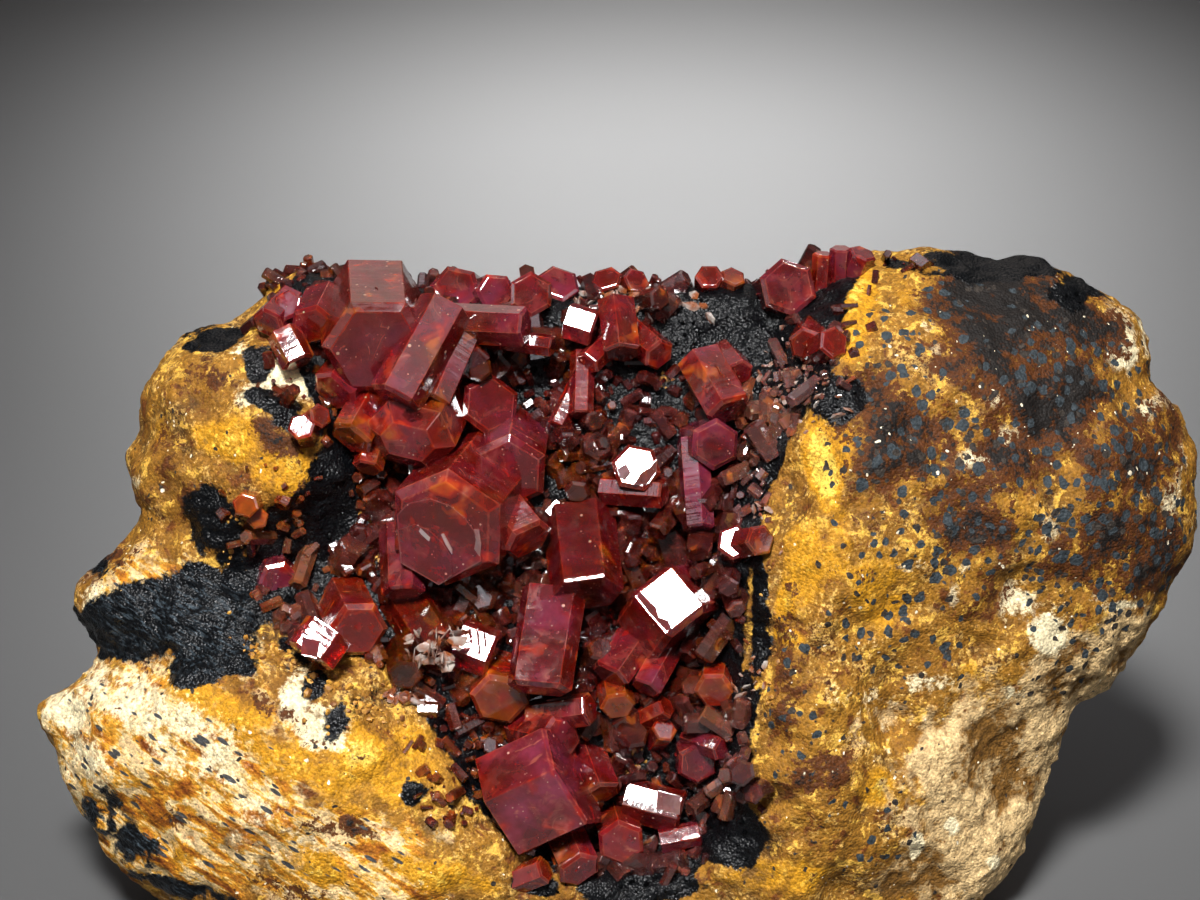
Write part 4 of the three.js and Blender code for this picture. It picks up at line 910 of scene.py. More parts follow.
def lay_spots(tree, under, colour, number, distance, chosen, reach, soft):
    """Lays spots over a colour in the cells whose numbers are within chosen, wider with the number."""
    radius = add(tree, "ShaderNodeMapRange", {
        "Value": number, "From Min": chosen[0], "From Max": chosen[1], "To Min": reach[0], "To Max": reach[1],
    }).outputs[0]
    there = add(tree, "ShaderNodeMath", {0: number, 1: chosen[0]}, operation="GREATER_THAN").outputs[0]
    radius = add(tree, "ShaderNodeMath", {0: radius, 1: there}, operation="MULTIPLY").outputs[0]
    spot = add(tree, "ShaderNodeMath", {0: radius, 1: distance}, operation="SUBTRACT").outputs[0]
    return lay(tree, under, colour, 0, spot, 0, soft)[0]


def limonite():
    """Earthy iron oxide on marl, with manganese stains: matt ochre, cream and dull blue-black."""
    material, tree, place = new_material("limonite")
    crust, stain, cream, yellow, sand, dots, streaks, raised = (
        add(tree, "ShaderNodeAttribute", attribute_name=name).outputs["Fac"]
        for name in ("crust", "stain", "cream", "yellow", "sand", "dots", "streaks", "height")
    )
    broad, patchy, fine, mottle = (
        add(tree, "ShaderNodeTexNoise", {
            "Vector": place, "Scale": 1 / (size * MM), "Detail": detail, "Roughness": coarse,
            "Distortion": bend,
        }).outputs["Fac"]
        for size, detail, coarse, bend in (
            (11, 7, 0.62, 0.3), (3.2, 6, 0.66, 0), (0.5, 5, 0.7, 0), (1.9, 5, 0.68, 0.4),
        )
    )
    cell, from_middle = cells(tree, place, 1 / (0.27 * MM), 1)
    # Streaks run down to the right on the lower left: the pattern is drawn out along that line.
    run = direction(0.86, -0.5, 0)
    climb = direction(0.5, 0.86, 0)
    parts = [
        add(tree, "ShaderNodeVectorMath", {0: place, 1: tuple(line / (length * MM))},
            operation="DOT_PRODUCT").outputs["Value"]
        for line, length in ((run, 4.5), (climb, 1.3), (OUT, 3))
    ]
    drawn_out = add(tree, "ShaderNodeCombineXYZ", dict(zip("XYZ", parts))).outputs[0]
    streaky = add(tree, "ShaderNodeTexNoise", {
        "Vector": drawn_out, "Scale": 1, "Detail": 5, "Roughness": 0.6, "Distortion": 0.5,
    }).outputs["Fac"]
    ragged = add(tree, "ShaderNodeMath", {0: patchy, 1: 0.5}, operation="SUBTRACT").outputs[0]
    ragged = add(tree, "ShaderNodeMath", {0: ragged, 1: 2.2}, operation="MULTIPLY").outputs[0]
    lighter = add(tree, "ShaderNodeMath", {0: patchy, 1: fine}, operation="MULTIPLY").outputs[0]
    hollow = add(tree, "ShaderNodeMath", {0: 1, 1: mottle}, operation="SUBTRACT").outputs[0]
    speckled = add(tree, "ShaderNodeMath", {0: fine, 1: 0.5}, operation="SUBTRACT").outputs[0]
    torn = add(tree, "ShaderNodeMath", {0: streaky, 1: patchy}, operation="ADD").outputs[0]
    torn = add(tree, "ShaderNodeMath", {0: torn, 1: 1.0}, operation="SUBTRACT").outputs[0]
    torn = add(tree, "ShaderNodeMath", {0: fine, 1: 0.5, 2: torn}, operation="MULTIPLY_ADD").outputs[0]
    torn = add(tree, "ShaderNodeMath", {0: streaks, 1: 0.5, 2: torn}, operation="MULTIPLY_ADD").outputs[0]
    veins = add(tree, "ShaderNodeMath", {0: streaks, 1: 1.5, 2: torn}, operation="SUBTRACT").outputs[0]
    speckled = add(
        tree, "ShaderNodeMath", {0: speckled, 1: 1.5, 2: ragged}, operation="MULTIPLY_ADD",
    ).outputs[0]
    # Painted shade: darker where the rock's relief (its height) is low, broken up by speckles.
    lower = add(
        tree, "ShaderNodeMath", {0: raised, 1: -1.3, 2: speckled}, operation="MULTIPLY_ADD",
    ).outputs[0]
    sand_hollow_shade = add(tree, "ShaderNodeMath", {0: sand, 1: 0.5, 2: lower}, operation="MULTIPLY_ADD").outputs[0]
    banded = add(tree, "ShaderNodeValToRGB", {"Fac": streaky})
    set_stops(banded.color_ramp, BANDS)
    sandy = add(tree, "ShaderNodeMix", {
        0: fine, 6: linear("#a8773e"), 7: linear("#fadfa6"),
    }, data_type="RGBA").outputs[2]
    colour = add(tree, "ShaderNodeMix", {
        0: broad, 6: linear("#5a2e0c"), 7: linear("#b98428"),
    }, data_type="RGBA").outputs[2]
    for over, mask, edge, low, high in (
        # Body of the rock: rust and ochre, mottled at several sizes, with painted shade where the relief is
        # low.
        ("#52260a", 0, ragged, 0.08, 0.24), ("#38200e", 0, lower, 0, 0.9),
        ("#d8ac5c", 0, lighter, 0.25, 0.36), ("#dba945", 0, mottle, 0.56, 0.62),
        ("#6a3a12", 0, hollow, 0.56, 0.64),
        # Drawn-out bands, then marl in crisp pale patches with rust in the lines between them.
        (banded.outputs["Color"], streaks, ragged, 0.3, 0.7),
        ("#ecd29c", 0, torn, 0.88, 0.95), ("#8a4410", 0, veins, 0.84, 0.96),
        # Yellow earth, the sandy break with painted shade in its hollows, cream marl and dark stains.
        ("#c88c18", yellow, ragged, 0.35, 0.8), ("#ecc450", yellow, speckled, 0.85, 1.3),
        (sandy, sand, ragged, 0.35, 0.7), ("#74501f", 0, sand_hollow_shade, 0.5, 1.0),
        ("#f0dfb4", cream, speckled, 0.45, 0.95),
        ("#552c0a", stain, speckled, 0.36, 0.54), ("#1a1512", stain, speckled, 0.68, 0.9),
    ):
        colour, _ = lay(tree, colour, over, mask, edge, low, high)
    # Manganese spots about a millimetre across, each its own size and outline.
    wobble = add(tree, "ShaderNodeTexNoise", {"Vector": place, "Scale": 1 / (1.1 * MM), "Detail": 2})
    shifted = add(tree, "ShaderNodeVectorMath", {
        0: wobble.outputs["Color"], 1: (0.9 * MM,) * 3, 2: place,
    }, operation="MULTIPLY_ADD").outputs[0]
    number, distance = cells(tree, shifted, 1 / (1.3 * MM), 0)
    number = add(tree, "ShaderNodeMath", {0: number, 1: dots}, operation="MULTIPLY").outputs[0]
    colour = lay_spots(tree, colour, "#343b3f", number, distance, (0.22, 1), (0.3, 0.62), 0.05)
    # Finer specks of the same oxide lie over the whole rock.
    number, distance = cells(tree, shifted, 1 / (0.85 * MM), 2)
    for value in (dots, ragged):
        number = add(
            tree, "ShaderNodeMath", {0: value, 1: 0.3, 2: number}, operation="MULTIPLY_ADD",
        ).outputs[0]
    colour = lay_spots(tree, colour, "#37302a", number, distance, (0.76, 1.2), (0, 0.55), 0.06)
    # Bright grains of quartz and calcite, which also stand as painted glints.
    number, distance = cells(tree, shifted, 1 / (0.7 * MM), 1)
    number = add(tree, "ShaderNodeMath", {0: ragged, 1: 0.2, 2: number}, operation="MULTIPLY_ADD").outputs[0]
    colour = lay_spots(tree, colour, "#fbeccb", number, distance, (0.82, 1.1), (0, 0.4), 0.08)
    # Grey spots drawn out along the streaks.
    number, distance = cells(tree, drawn_out, 2.2, 0)
    number = add(tree, "ShaderNodeMath", {0: number, 1: streaks}, operation="MULTIPLY").outputs[0]
    colour = lay_spots(tree, colour, "#454444", number, distance, (0.3, 1), (0, 0.5), 0.1)
    # Every grain of the earth has its own brightness, and the hollows between them are dark.
    lit = add(tree, "ShaderNodeMapRange", {
        "Value": fine, "From Min": 0.3, "From Max": 0.7, "To Min": 0.5, "To Max": 1.4,
    }, clamp=False).outputs[0]
    lit = add(tree, "ShaderNodeMath", {0: cell, 1: 0.5, 2: lit}, operation="MULTIPLY_ADD").outputs[0]
    lit = add(tree, "ShaderNodeMath", {0: lit, 1: 0.15}, operation="SUBTRACT").outputs[0]
    colour = add(tree, "ShaderNodeVectorMath", {0: colour, 3: lit}, operation="SCALE").outputs[0]
    # Black manganese crust, painted near-black so that it also stands for the shade deep in the vug, with a
    # painted blue-grey sheen along the streaks.
    painted_crust_sheen = add(tree, "ShaderNodeVectorMath", {0: drawn_out, 1: (2, 6, 6)}, operation="MULTIPLY").outputs[0]
    painted_crust_sheen = add(tree, "ShaderNodeTexNoise", {"Vector": painted_crust_sheen, "Scale": 1, "Detail": 4, "Roughness": 0.6})
    painted_crust_sheen = add(tree, "ShaderNodeMapRange", {
        "Value": painted_crust_sheen.outputs["Fac"], "From Min": 0.52, "From Max": 0.75, "To Min": 0, "To Max": 1,
    }).outputs[0]
    painted_crust_sheen = add(tree, "ShaderNodeMath", {0: painted_crust_sheen, 1: streaks}, operation="MULTIPLY").outputs[0]
    crust_black_and_shade = linear("#010102")
    for share, code in ((fine, "#0a0c0f"), (painted_crust_sheen, "#55626b")):
        crust_black_and_shade = add(tree, "ShaderNodeMix", {0: share, 6: crust_black_and_shade, 7: linear(code)}, data_type="RGBA").outputs[2]
    colour, crusted = lay(tree, colour, crust_black_and_shade, crust, ragged, 0.45, 0.62)
    rough = add(tree, "ShaderNodeMapRange", {"Value": crusted, "To Min": 0.7, "To Max": 0.3}).outputs[0]
    rough = add(tree, "ShaderNodeMath", {0: fine, 1: 0.4, 2: rough}, operation="MULTIPLY_ADD").outputs[0]
    rough = add(tree, "ShaderNodeMath", {0: rough, 1: 0.2}, operation="SUBTRACT", use_clamp=True).outputs[0]
    # Angular grains, so the earth glitters instead of folding like leather.
    height = add(tree, "ShaderNodeMath", {0: from_middle, 1: -0.7}, operation="MULTIPLY").outputs[0]
    for value, weight in ((cell, 0.4), (fine, 0.45), (patchy, 2.6)):
        height = add(
            tree, "ShaderNodeMath", {0: value, 1: weight, 2: height}, operation="MULTIPLY_ADD",
        ).outputs[0]
    bump = add(tree, "ShaderNodeBump", {"Height": height, "Strength": 0.9, "Distance": 0.16 * MM})
    shader = add(tree, "ShaderNodeBsdfPrincipled", {
        "Base Color": colour, "Roughness": rough, "IOR": 1.36, "Normal": bump.outputs["Normal"],
    })
    add(tree, "ShaderNodeOutputMaterial", {"Surface": shader.outputs[0]})
    return material


def two_tone(name, size, detail, span, tones, look, gloss=None):
    """A material whose two tones change over in patches of a size in millimetres, within the span."""
    material, tree, place = new_material(name)
    patches = add(tree, "ShaderNodeTexNoise", {
        "Vector": place, "Scale": 1 / (size * MM), "Detail": detail,
    }).outputs["Fac"]
    share = add(tree, "ShaderNodeMapRange", {
        "Value": patches, "From Min": span[0], "From Max": span[1],
    }).outputs[0]
    dark, light = map(linear, tones)
    colour = add(tree, "ShaderNodeMix", {0: share, 6: dark, 7: light}, data_type="RGBA").outputs[2]
    shader = add(tree, "ShaderNodeBsdfPrincipled", {"Base Color": colour, **look})
    if gloss:
        rough = add(tree, "ShaderNodeMapRange", {"Value": patches, "To Min": gloss[0], "To Max": gloss[1]})
        tree.links.new(rough.outputs[0], shader.inputs["Roughness"])
    add(tree, "ShaderNodeOutputMaterial", {"Surface": shader.outputs[0]})
    return material


crystal_red = vanadinite("vanadinite_crystal", 0.08, 0.16, CRYSTAL_REDS)
small_red = vanadinite("vanadinite_druse", 0.1, 0.04, DRUSE_REDS)
rock_stone = limonite()
# Manganese oxide grains: soot black with a faint metallic blue glint.
crust_grain = two_tone(
    "manganese_crust", 0.7, 3, (0, 1), ("#010101", "#090a0b"), {"IOR": 1.5, "Specular IOR Level": 0.09},
    gloss=(0.08, 0.25),
)
# Crumbs of iron ochre: matt yellow-brown earth with a few bright grains.
crumb = two_tone("ochre_crumbs", 0.9, 4, (0.35, 0.65), ("#6e3c10", "#dba13c"), {"Roughness": 0.6, "IOR": 1.6})
# Broken crystal splinters: nearly clear, orange where they are thick, with sharp glints.
splinter = two_tone(
    "vanadinite_splinters", 1.4, 3, (0.4, 0.62), ("#c06a3a", "#ece0d4"),
    {"Roughness": 0.08, "IOR": 2.35, "Transmission Weight": 0.5},
)

# ---- the rock ----
VOXEL = 0.83 * MM  # grid of the remeshed rock; the front is halved once more
RELAX_PASSES = 5
BASE_BAND = 0.3 * MM  # this much of the rock's foot stays flat, and its relief fades in above it
# Relief of the rock's surface, in millimetres: how wide its features are and how high they stand.
LUMPS_WIDE, LUMPS_HIGH = 5.2, 0.6
PITS_WIDE, PITS_HIGH = 2.6, 0.2
GRIT_WIDE, GRIT_HIGH, SANDY_GRIT_HIGH = 0.75, 0.05, 0.2
RIDGES_ACROSS, RIDGES_UP, RIDGES_HIGH = 2.4, 0.8, 0.35
VUG_RISE = 0.35


def evaluated(source, name):
    """The object's final mesh as a plain mesh, with nothing live on it."""
    depsgraph = bpy.context.evaluated_depsgraph_get()
    mesh = bpy.data.meshes.new_from_object(source.evaluated_get(depsgraph))
    mesh.name = name
    return mesh


def positions(mesh):
    """A mesh's vertex positions, one row each."""
    flat = np.empty(len(mesh.vertices) * 3)
    mesh.vertices.foreach_get("co", flat)
    return flat.reshape(-1, 3)


def relaxed(points, links, still, passes):
    """Points drawn towards their neighbours' middle, to round off the CAD model's facets."""
    count = np.bincount(links.ravel(), minlength=len(points))[:, None]
    for _ in range(passes):
        total = np.zeros_like(points)
        for axis in range(3):
            total[:, axis] = (
                np.bincount(links[:, 0], points[links[:, 1], axis], len(points))
                + np.bincount(links[:, 1], points[links[:, 0], axis], len(points))
            )
        points = np.where(still[:, None], points, 0.5 * points + 0.5 * total / count)
    return points


def rock_mesh():
    """The CAD rock as one fine even mesh."""
    bm = bmesh.new()
    bm.from_mesh(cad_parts["matrix_rock"].data)
    bmesh.ops.remove_doubles(bm, verts=bm.verts, dist=0.001 * MM)
    whole = bpy.data.meshes.new("rock_whole")
    bm.to_mesh(whole)
    bm.free()
    block = piece("rock_block", whole)
    remesh = block.modifiers.new("remesh", "REMESH")
    remesh.mode = "VOXEL"
    remesh.voxel_size = VOXEL
    mesh = evaluated(block, "rock_grid")
    bpy.data.objects.remove(block)
    bm = bmesh.new()
    bm.from_mesh(mesh)
    bm.normal_update()
    bmesh.ops.triangulate(bm, faces=bm.faces)
    front = [face for face in bm.faces if face.normal.dot(Vector(OUT)) > 0.05 or face.normal.z > 0.5]
    bmesh.ops.subdivide_edges(bm, edges=list(dict.fromkeys(e for f in front for e in f.edges)), cuts=1)
    bmesh.ops.triangulate(bm, faces=[f for f in bm.faces if len(f.verts) > 3])
    bm.to_mesh(mesh)
    bm.free()
    return mesh


rock = rock_mesh()
points = positions(rock)
links = np.empty(len(rock.edges) * 2, int)
rock.edges.foreach_get("vertices", links)
links = links.reshape(-1, 2)
base_level = points[:, 2].min()
on_base = points[:, 2] < base_level + BASE_BAND
points = relaxed(points, links, on_base, RELAX_PASSES)
rock.vertices.foreach_set("co", points.ravel())
rock.update()
normals = np.empty(len(points) * 3)
rock.vertices.foreach_get("normal", normals)
normals = normals.reshape(-1, 3)
on_face = (points - np.array(ORIGIN)) @ FACE.T / MM
u, v, w = on_face.T
facing = smooth(normals @ np.array(OUT), -0.35, 0.1)
vug = inside_vug(u, v)
in_vug = smooth(vug, -0.8, 1.2) * facing

fields = {
    name: blobs(table, u, v) for name, table in (
        ("crust", CRUST), ("stain", STAIN), ("cream", CREAM), ("yellow", YELLOW), ("sand", SAND),
        ("dots", DOTS), ("streaks", STREAKS),
    )
}
fields["streaks"] = np.minimum(fields["streaks"], 1)
# The vug's floor is crust all over; the rock's material paints it near-black, partly as painted shade.
fields["crust"] = np.maximum(fields["crust"], 1.1 * smooth(vug, 0.3, 2.2))
fields["crust"] *= 1 - blobs(CRUMBS, u, v) * 0.6
for name in fields:
    fields[name] = fields[name] * facing
for name, share in (("dots", 0.5), ("stain", 0.3), ("sand", 0.35)):
    fields[name] = fields[name] + share * (1 - facing)

# Relief: broken lumps everywhere, grit on the sandy break, fibrous ridges on the black crust.
moved = np.zeros(len(points))
for i, point in enumerate(points / MM):
    spot = Vector(point)
    lumps = noise.fractal(spot / LUMPS_WIDE, 0.9, 2.1, 4)
    pits = noise.ridged_multi_fractal(spot / PITS_WIDE, 1.0, 2.1, 3, 1.0, 2.0) - 1.2
    grit = noise.noise(spot / GRIT_WIDE)
    grit_high = GRIT_HIGH + SANDY_GRIT_HIGH * fields["sand"][i]
    moved[i] = LUMPS_HIGH * lumps + PITS_HIGH * pits + grit_high * grit
ridges = np.array([
    noise.noise(Vector((x / RIDGES_ACROSS, y / RIDGES_ACROSS, z / RIDGES_UP))) for x, y, z in points / MM
])
moved += RIDGES_HIGH * ridges * np.clip(fields["crust"], 0, 1)
# The relief is kept as `height` too, which the rock's material darkens as painted shade where it is low.
fields["height"] = moved.copy()
for at_u, at_v, radius, depth in HOLLOWS:
    moved -= depth * np.exp(-((u - at_u) ** 2 + (v - at_v) ** 2) / radius ** 2) * facing
moved += VUG_RISE * in_vug
near_base = smooth((points[:, 2] - base_level) / MM, 0.3, 3)
moved = moved * near_base
points = points + normals * moved[:, None] * MM
points[:, 2] = np.maximum(points[:, 2], base_level)
rock.vertices.foreach_set("co", points.ravel())
rock.update()
rock.shade_smooth()

# ---- crystals of the CAD part ----
rng = random.Random(5)
pieces = []
for node, members in CRYSTALS.items():
    bm = new_crystals()
    for number, member in enumerate(members):
        layers = [layer[1:] for layer in LAYERS.get(node, ()) if layer[0] == number]
        grow(bm, member, WARMTH[node], CLEAR.get(node, PLAIN_CLEAR), rng, layers)
    grown = piece(f"{node}_grown", finish_crystals(bm, f"{node}_grown"))
    grown.data.materials.append(crystal_red)
    pieces.append((grown, [node], "vanadinite"))

# ---- what is sown over the vug ----
HIDING_DEPTHS = (0.5, 1.2, 2, 3, 4.2)  # how far behind a sown crystal a large one is looked for
LEAST_SOWN = 0.16
DEEPEST_SOWN = -7  # no crystals are sown further back than this; on the ridge, from RIDGE up, 6 mm more
RIDGE_DEEPER = 6
RIDGE = (50, 54)
# The crust's grains stay below the ridge, right of the left shelf and in front of the back.
GRAINS_BELOW, GRAINS_RIGHT_OF, GRAINS_DEEPEST = 54.5, -31, -9


def covered(u, v, w, margin):
    """True where the crystals of the CAD part already stand over a place."""
    hit = np.zeros(len(u), bool)
    spots = np.stack([u, v, w], 1) @ FACE * MM + np.array(ORIGIN)
    for members in CRYSTALS.values():
        for member in members:
            wide, thick, long = member["size"]
            across, side, axis = (np.array(a) for a in own_axes(member))
            away = (spots - np.array(to_world(*member["tip"]))) / MM
            along = away @ axis
            flat = np.maximum(np.abs(away @ side) / (thick / 2 + margin),
                              np.hypot(away @ across, away @ side) / (wide / 2 + margin))
            hit |= (flat < 1) & (along < margin) & (along > -long - margin)
    return hit


def shape_collection(name, meshes):
    """Hidden source shapes for sowing."""
    group = bpy.data.collections.new(name)
    for i, mesh in enumerate(meshes):
        group.objects.link(bpy.data.objects.new(f"{name}_{i}", mesh))
    return group


def small_crystal(seed, tall):
    """A hexagonal prism one unit wide with a worn tip, standing on the origin."""
    rng = random.Random(seed)
    bm = new_crystals(("thin", "clear"))
    thin = bm.verts.layers.float["thin"]
    glass = bm.verts.layers.float["clear"]
    own = bm.verts.layers.float_vector["own"]
    thick = rng.uniform(0.74, 0.9)
    levels = ((-0.35, 0, 0.1), (tall - 0.1, 0, 0.3), (tall, 0.09, 0.66))
    rings = []
    for height, inset, edge in levels:
        ring = []
        for x, y in hexagon((seed, tall), 1, thick, inset):
            vert = bm.verts.new((x, y, height))
            vert[thin] = edge
            vert[glass] = 0.5
            vert[own] = vert.co * 2
            ring.append(vert)
        rings.append(ring)
    closed_shell(bm, rings)
    bmesh.ops.recalc_face_normals(bm, faces=bm.faces)
    middle = bmesh.ops.inset_individual(
        bm, faces=[f for f in bm.faces if f.calc_area() > 0.2], thickness=0.1, use_even_offset=True)
    for face in bm.faces:
        if face.calc_area() > 0.12 and face not in set(middle["faces"]):
            for vert in face.verts:
                vert[thin] = 0.1
    return finish_crystals(bm, f"small_crystal_{seed}")


def grain(seed, flat):
    """An angular grain one unit wide: a cut-down icosahedron pushed out of shape."""
    rng = random.Random(seed)
    bm = new_crystals(())
    bmesh.ops.create_icosphere(bm, subdivisions=1, radius=0.5)
    for vert in bm.verts:
        vert.co *= rng.uniform(0.65, 1.25)
        vert.co.z *= flat
    return finish_crystals(bm, f"grain_{seed}")


def sowing_tree():
    """Sows shapes over a ground, thickest where its `sowing` attribute is high, as one real mesh."""
    tree = bpy.data.node_groups.new("sown_over_ground", "GeometryNodeTree")
    sockets = {}
    for name, kind, value in (
        ("Ground", "NodeSocketGeometry", None), ("Shapes", "NodeSocketCollection", None),
        ("Spacing", "NodeSocketFloat", MM), ("Smallest", "NodeSocketFloat", MM),
        ("Largest", "NodeSocketFloat", MM), ("Tilt", "NodeSocketFloat", 0.5),
        ("Stretch", "NodeSocketFloat", 1.0), ("Seed", "NodeSocketInt", 0),
        ("Finish", "NodeSocketMaterial", None),
    ):
        socket = tree.interface.new_socket(name=name, in_out="INPUT", socket_type=kind)
        if value is not None:
            socket.default_value = value
        sockets[name] = socket.identifier
    tree.interface.new_socket(name="Sown", in_out="OUTPUT", socket_type="NodeSocketGeometry")
    given = add(tree, "NodeGroupInput").outputs
    thickness = add(tree, "GeometryNodeInputNamedAttribute", {"Name": "sowing"}, data_type="FLOAT")
    coarse = add(tree, "GeometryNodeInputNamedAttribute", {"Name": "coarse"}, data_type="FLOAT")
    warmth = add(tree, "GeometryNodeInputNamedAttribute", {"Name": "warmth"}, data_type="FLOAT")
    spread = add(tree, "GeometryNodeDistributePointsOnFaces", {
        "Mesh": given["Ground"], "Distance Min": given["Spacing"], "Density Max": 4e7,
        "Density Factor": thickness.outputs[0], "Seed": given["Seed"],
    }, distribute_method="POISSON")
    chance = add(tree, "FunctionNodeRandomValue", {"Seed": given["Seed"]}, data_type="FLOAT").outputs[1]
    chance = add(tree, "ShaderNodeMath", {0: chance, 1: 1.7}, operation="POWER").outputs[0]
    size = add(tree, "ShaderNodeMapRange", {
        "Value": chance, "To Min": given["Smallest"], "To Max": given["Largest"],
    }).outputs[0]
    size = add(tree, "ShaderNodeMath", {0: size, 1: coarse.outputs[0]}, operation="MULTIPLY").outputs[0]
    longer = add(tree, "FunctionNodeRandomValue", {
        "Min": 0.8, 3: given["Stretch"], "Seed": 3,
    }, data_type="FLOAT").outputs[1]
    tall = add(tree, "ShaderNodeMath", {0: size, 1: longer}, operation="MULTIPLY").outputs[0]
    scale = add(tree, "ShaderNodeCombineXYZ", {"X": size, "Y": size, "Z": tall}).outputs[0]
    lean_back = add(tree, "ShaderNodeMath", {0: given["Tilt"], 1: -1.0}, operation="MULTIPLY").outputs[0]
    most = add(tree, "ShaderNodeCombineXYZ", {"X": given["Tilt"], "Y": given["Tilt"], "Z": math.pi})
    least = add(tree, "ShaderNodeCombineXYZ", {"X": lean_back, "Y": lean_back, "Z": -math.pi})
    turn = add(tree, "FunctionNodeRandomValue", {
        0: least.outputs[0], 1: most.outputs[0], "Seed": 7,
    }, data_type="FLOAT_VECTOR").outputs[0]
    turned = add(tree, "FunctionNodeRotateRotation", {
        "Rotation": spread.outputs["Rotation"],
        "Rotate By": add(tree, "FunctionNodeEulerToRotation", {"Euler": turn}).outputs[0],
    }, rotation_space="LOCAL").outputs[0]
    shapes = add(tree, "GeometryNodeCollectionInfo", {
        "Collection": given["Shapes"], "Separate Children": True, "Reset Children": True,
    }).outputs[0]
    placed = add(tree, "GeometryNodeInstanceOnPoints", {
        "Points": spread.outputs["Points"], "Instance": shapes, "Pick Instance": True,
        "Rotation": turned, "Scale": scale,
    }).outputs[0]
    own_heat = add(tree, "FunctionNodeRandomValue", {2: -0.16, 3: 0.16, "Seed": 11}, data_type="FLOAT")
    heat = add(tree, "ShaderNodeMath", {0: warmth.outputs[0], 1: own_heat.outputs[1]}, operation="ADD")
    named = add(tree, "GeometryNodeStoreNamedAttribute", {
        "Geometry": placed, "Name": "warmth", "Value": heat.outputs[0],
    }, data_type="FLOAT", domain="INSTANCE").outputs[0]
    real = add(tree, "GeometryNodeRealizeInstances", {"Geometry": named}).outputs[0]
    coated = add(tree, "GeometryNodeSetMaterial", {"Geometry": real, "Material": given["Finish"]})
    add(tree, "NodeGroupOutput", {"Sown": coated.outputs[0]})
    return tree, sockets


sowing, sowing_inputs = sowing_tree()


def sow(name, thickness, shapes, finish, spacing, smallest, largest, tilt, stretch, seed):
    """Sows shapes over the rock where thickness (an array over its vertices) is above 0."""
    ground = rock.copy()
    for label, values in (("sowing", thickness), ("coarse", coarse), ("warmth", heat), ("frost", pale)):
        ground.attributes.new(label, "FLOAT", "POINT").data.foreach_set("value", values.astype(np.float32))
    bm = bmesh.new()
    bm.from_mesh(ground)
    layer = bm.verts.layers.float["sowing"]
    empty = [f for f in bm.faces if all(vert[layer] < 0.02 for vert in f.verts)]
    bmesh.ops.delete(bm, geom=empty, context="FACES")
    bm.to_mesh(ground)
    bm.free()
    bed = piece(f"{name}_bed", ground)
    modifier = bed.modifiers.new("sown", "NODES")
    modifier.node_group = sowing
    for label, value in (
        ("Shapes", shapes), ("Spacing", spacing * MM), ("Smallest", smallest * MM),
        ("Largest", largest * MM), ("Tilt", math.radians(tilt)), ("Stretch", stretch),
        ("Seed", seed), ("Finish", finish),
    ):
        modifier[sowing_inputs[label]] = value
    mesh = evaluated(bed, name)
    bpy.data.objects.remove(bed)
    return piece(name, mesh)


def thin_out(bed):
    """Takes away sown crystals that would stand in front of a crystal of the CAD part."""
    bm = bmesh.new()
    bm.from_mesh(bed.data)
    bm.verts.ensure_lookup_table()
    islands, seen = [], set()
    for first in bm.verts:
        if first in seen:
            continue
        island, todo = [], [first]
        seen.add(first)
        while todo:
            vert = todo.pop()
            island.append(vert)
            for edge in vert.link_edges:
                other = edge.other_vert(vert)
                if other not in seen:
                    seen.add(other)
                    todo.append(other)
        islands.append(island)
    middles = np.array([sum((vert.co for vert in island), Vector()) / len(island) for island in islands])
    on_face = (middles - np.array(ORIGIN)) / MM @ np.array(FACE).T
    hidden = np.zeros(len(islands), bool)
    for depth in HIDING_DEPTHS:
        hidden |= covered(on_face[:, 0], on_face[:, 1], on_face[:, 2] - depth, 0)
    gone = [vert for island, cut in zip(islands, hidden) if cut for vert in island]
    bmesh.ops.delete(bm, geom=gone, context="VERTS")
    bm.to_mesh(bed.data)
    bm.free()


bare = blobs(BARE, u, v)
standing = covered(u, v, w + 0.9, 0.15)
room = np.where(standing, 0, 1)
open_face = room * facing
sown = np.maximum(smooth(vug, 0.2, 2.0) * 0.85, blobs(SOWN, u, v)) * facing
sown = sown * (sown > LEAST_SOWN)
growing = np.clip(sown - 1.2 * bare, 0, 1) * room * (w > DEEPEST_SOWN - RIDGE_DEEPER * smooth(v, *RIDGE))
crust_mask = np.clip(fields["crust"] * 1.6 - 0.8, 0, 1) * facing * (w > GRAINS_DEEPEST)
crust_mask = crust_mask * (v < GRAINS_BELOW) * (u > GRAINS_RIGHT_OF)
heat = np.clip(0.42 + 0.5 * blobs(ORANGE_SIDE, u, v), 0, 1)
coarse = 1 - blobs(SMALL_SIDE, u, v)
pale = blobs(PALE_SIDE, u, v)

hexagons = shape_collection("small_crystals", [
    small_crystal(n, tall) for n, tall in enumerate((0.5, 0.8, 1.1, 1.5, 1.9))
])
grains = shape_collection("grains", [grain(n, 0.8) for n in range(4)])
chips = shape_collection("chips", [grain(n + 10, 0.3) for n in range(4)])

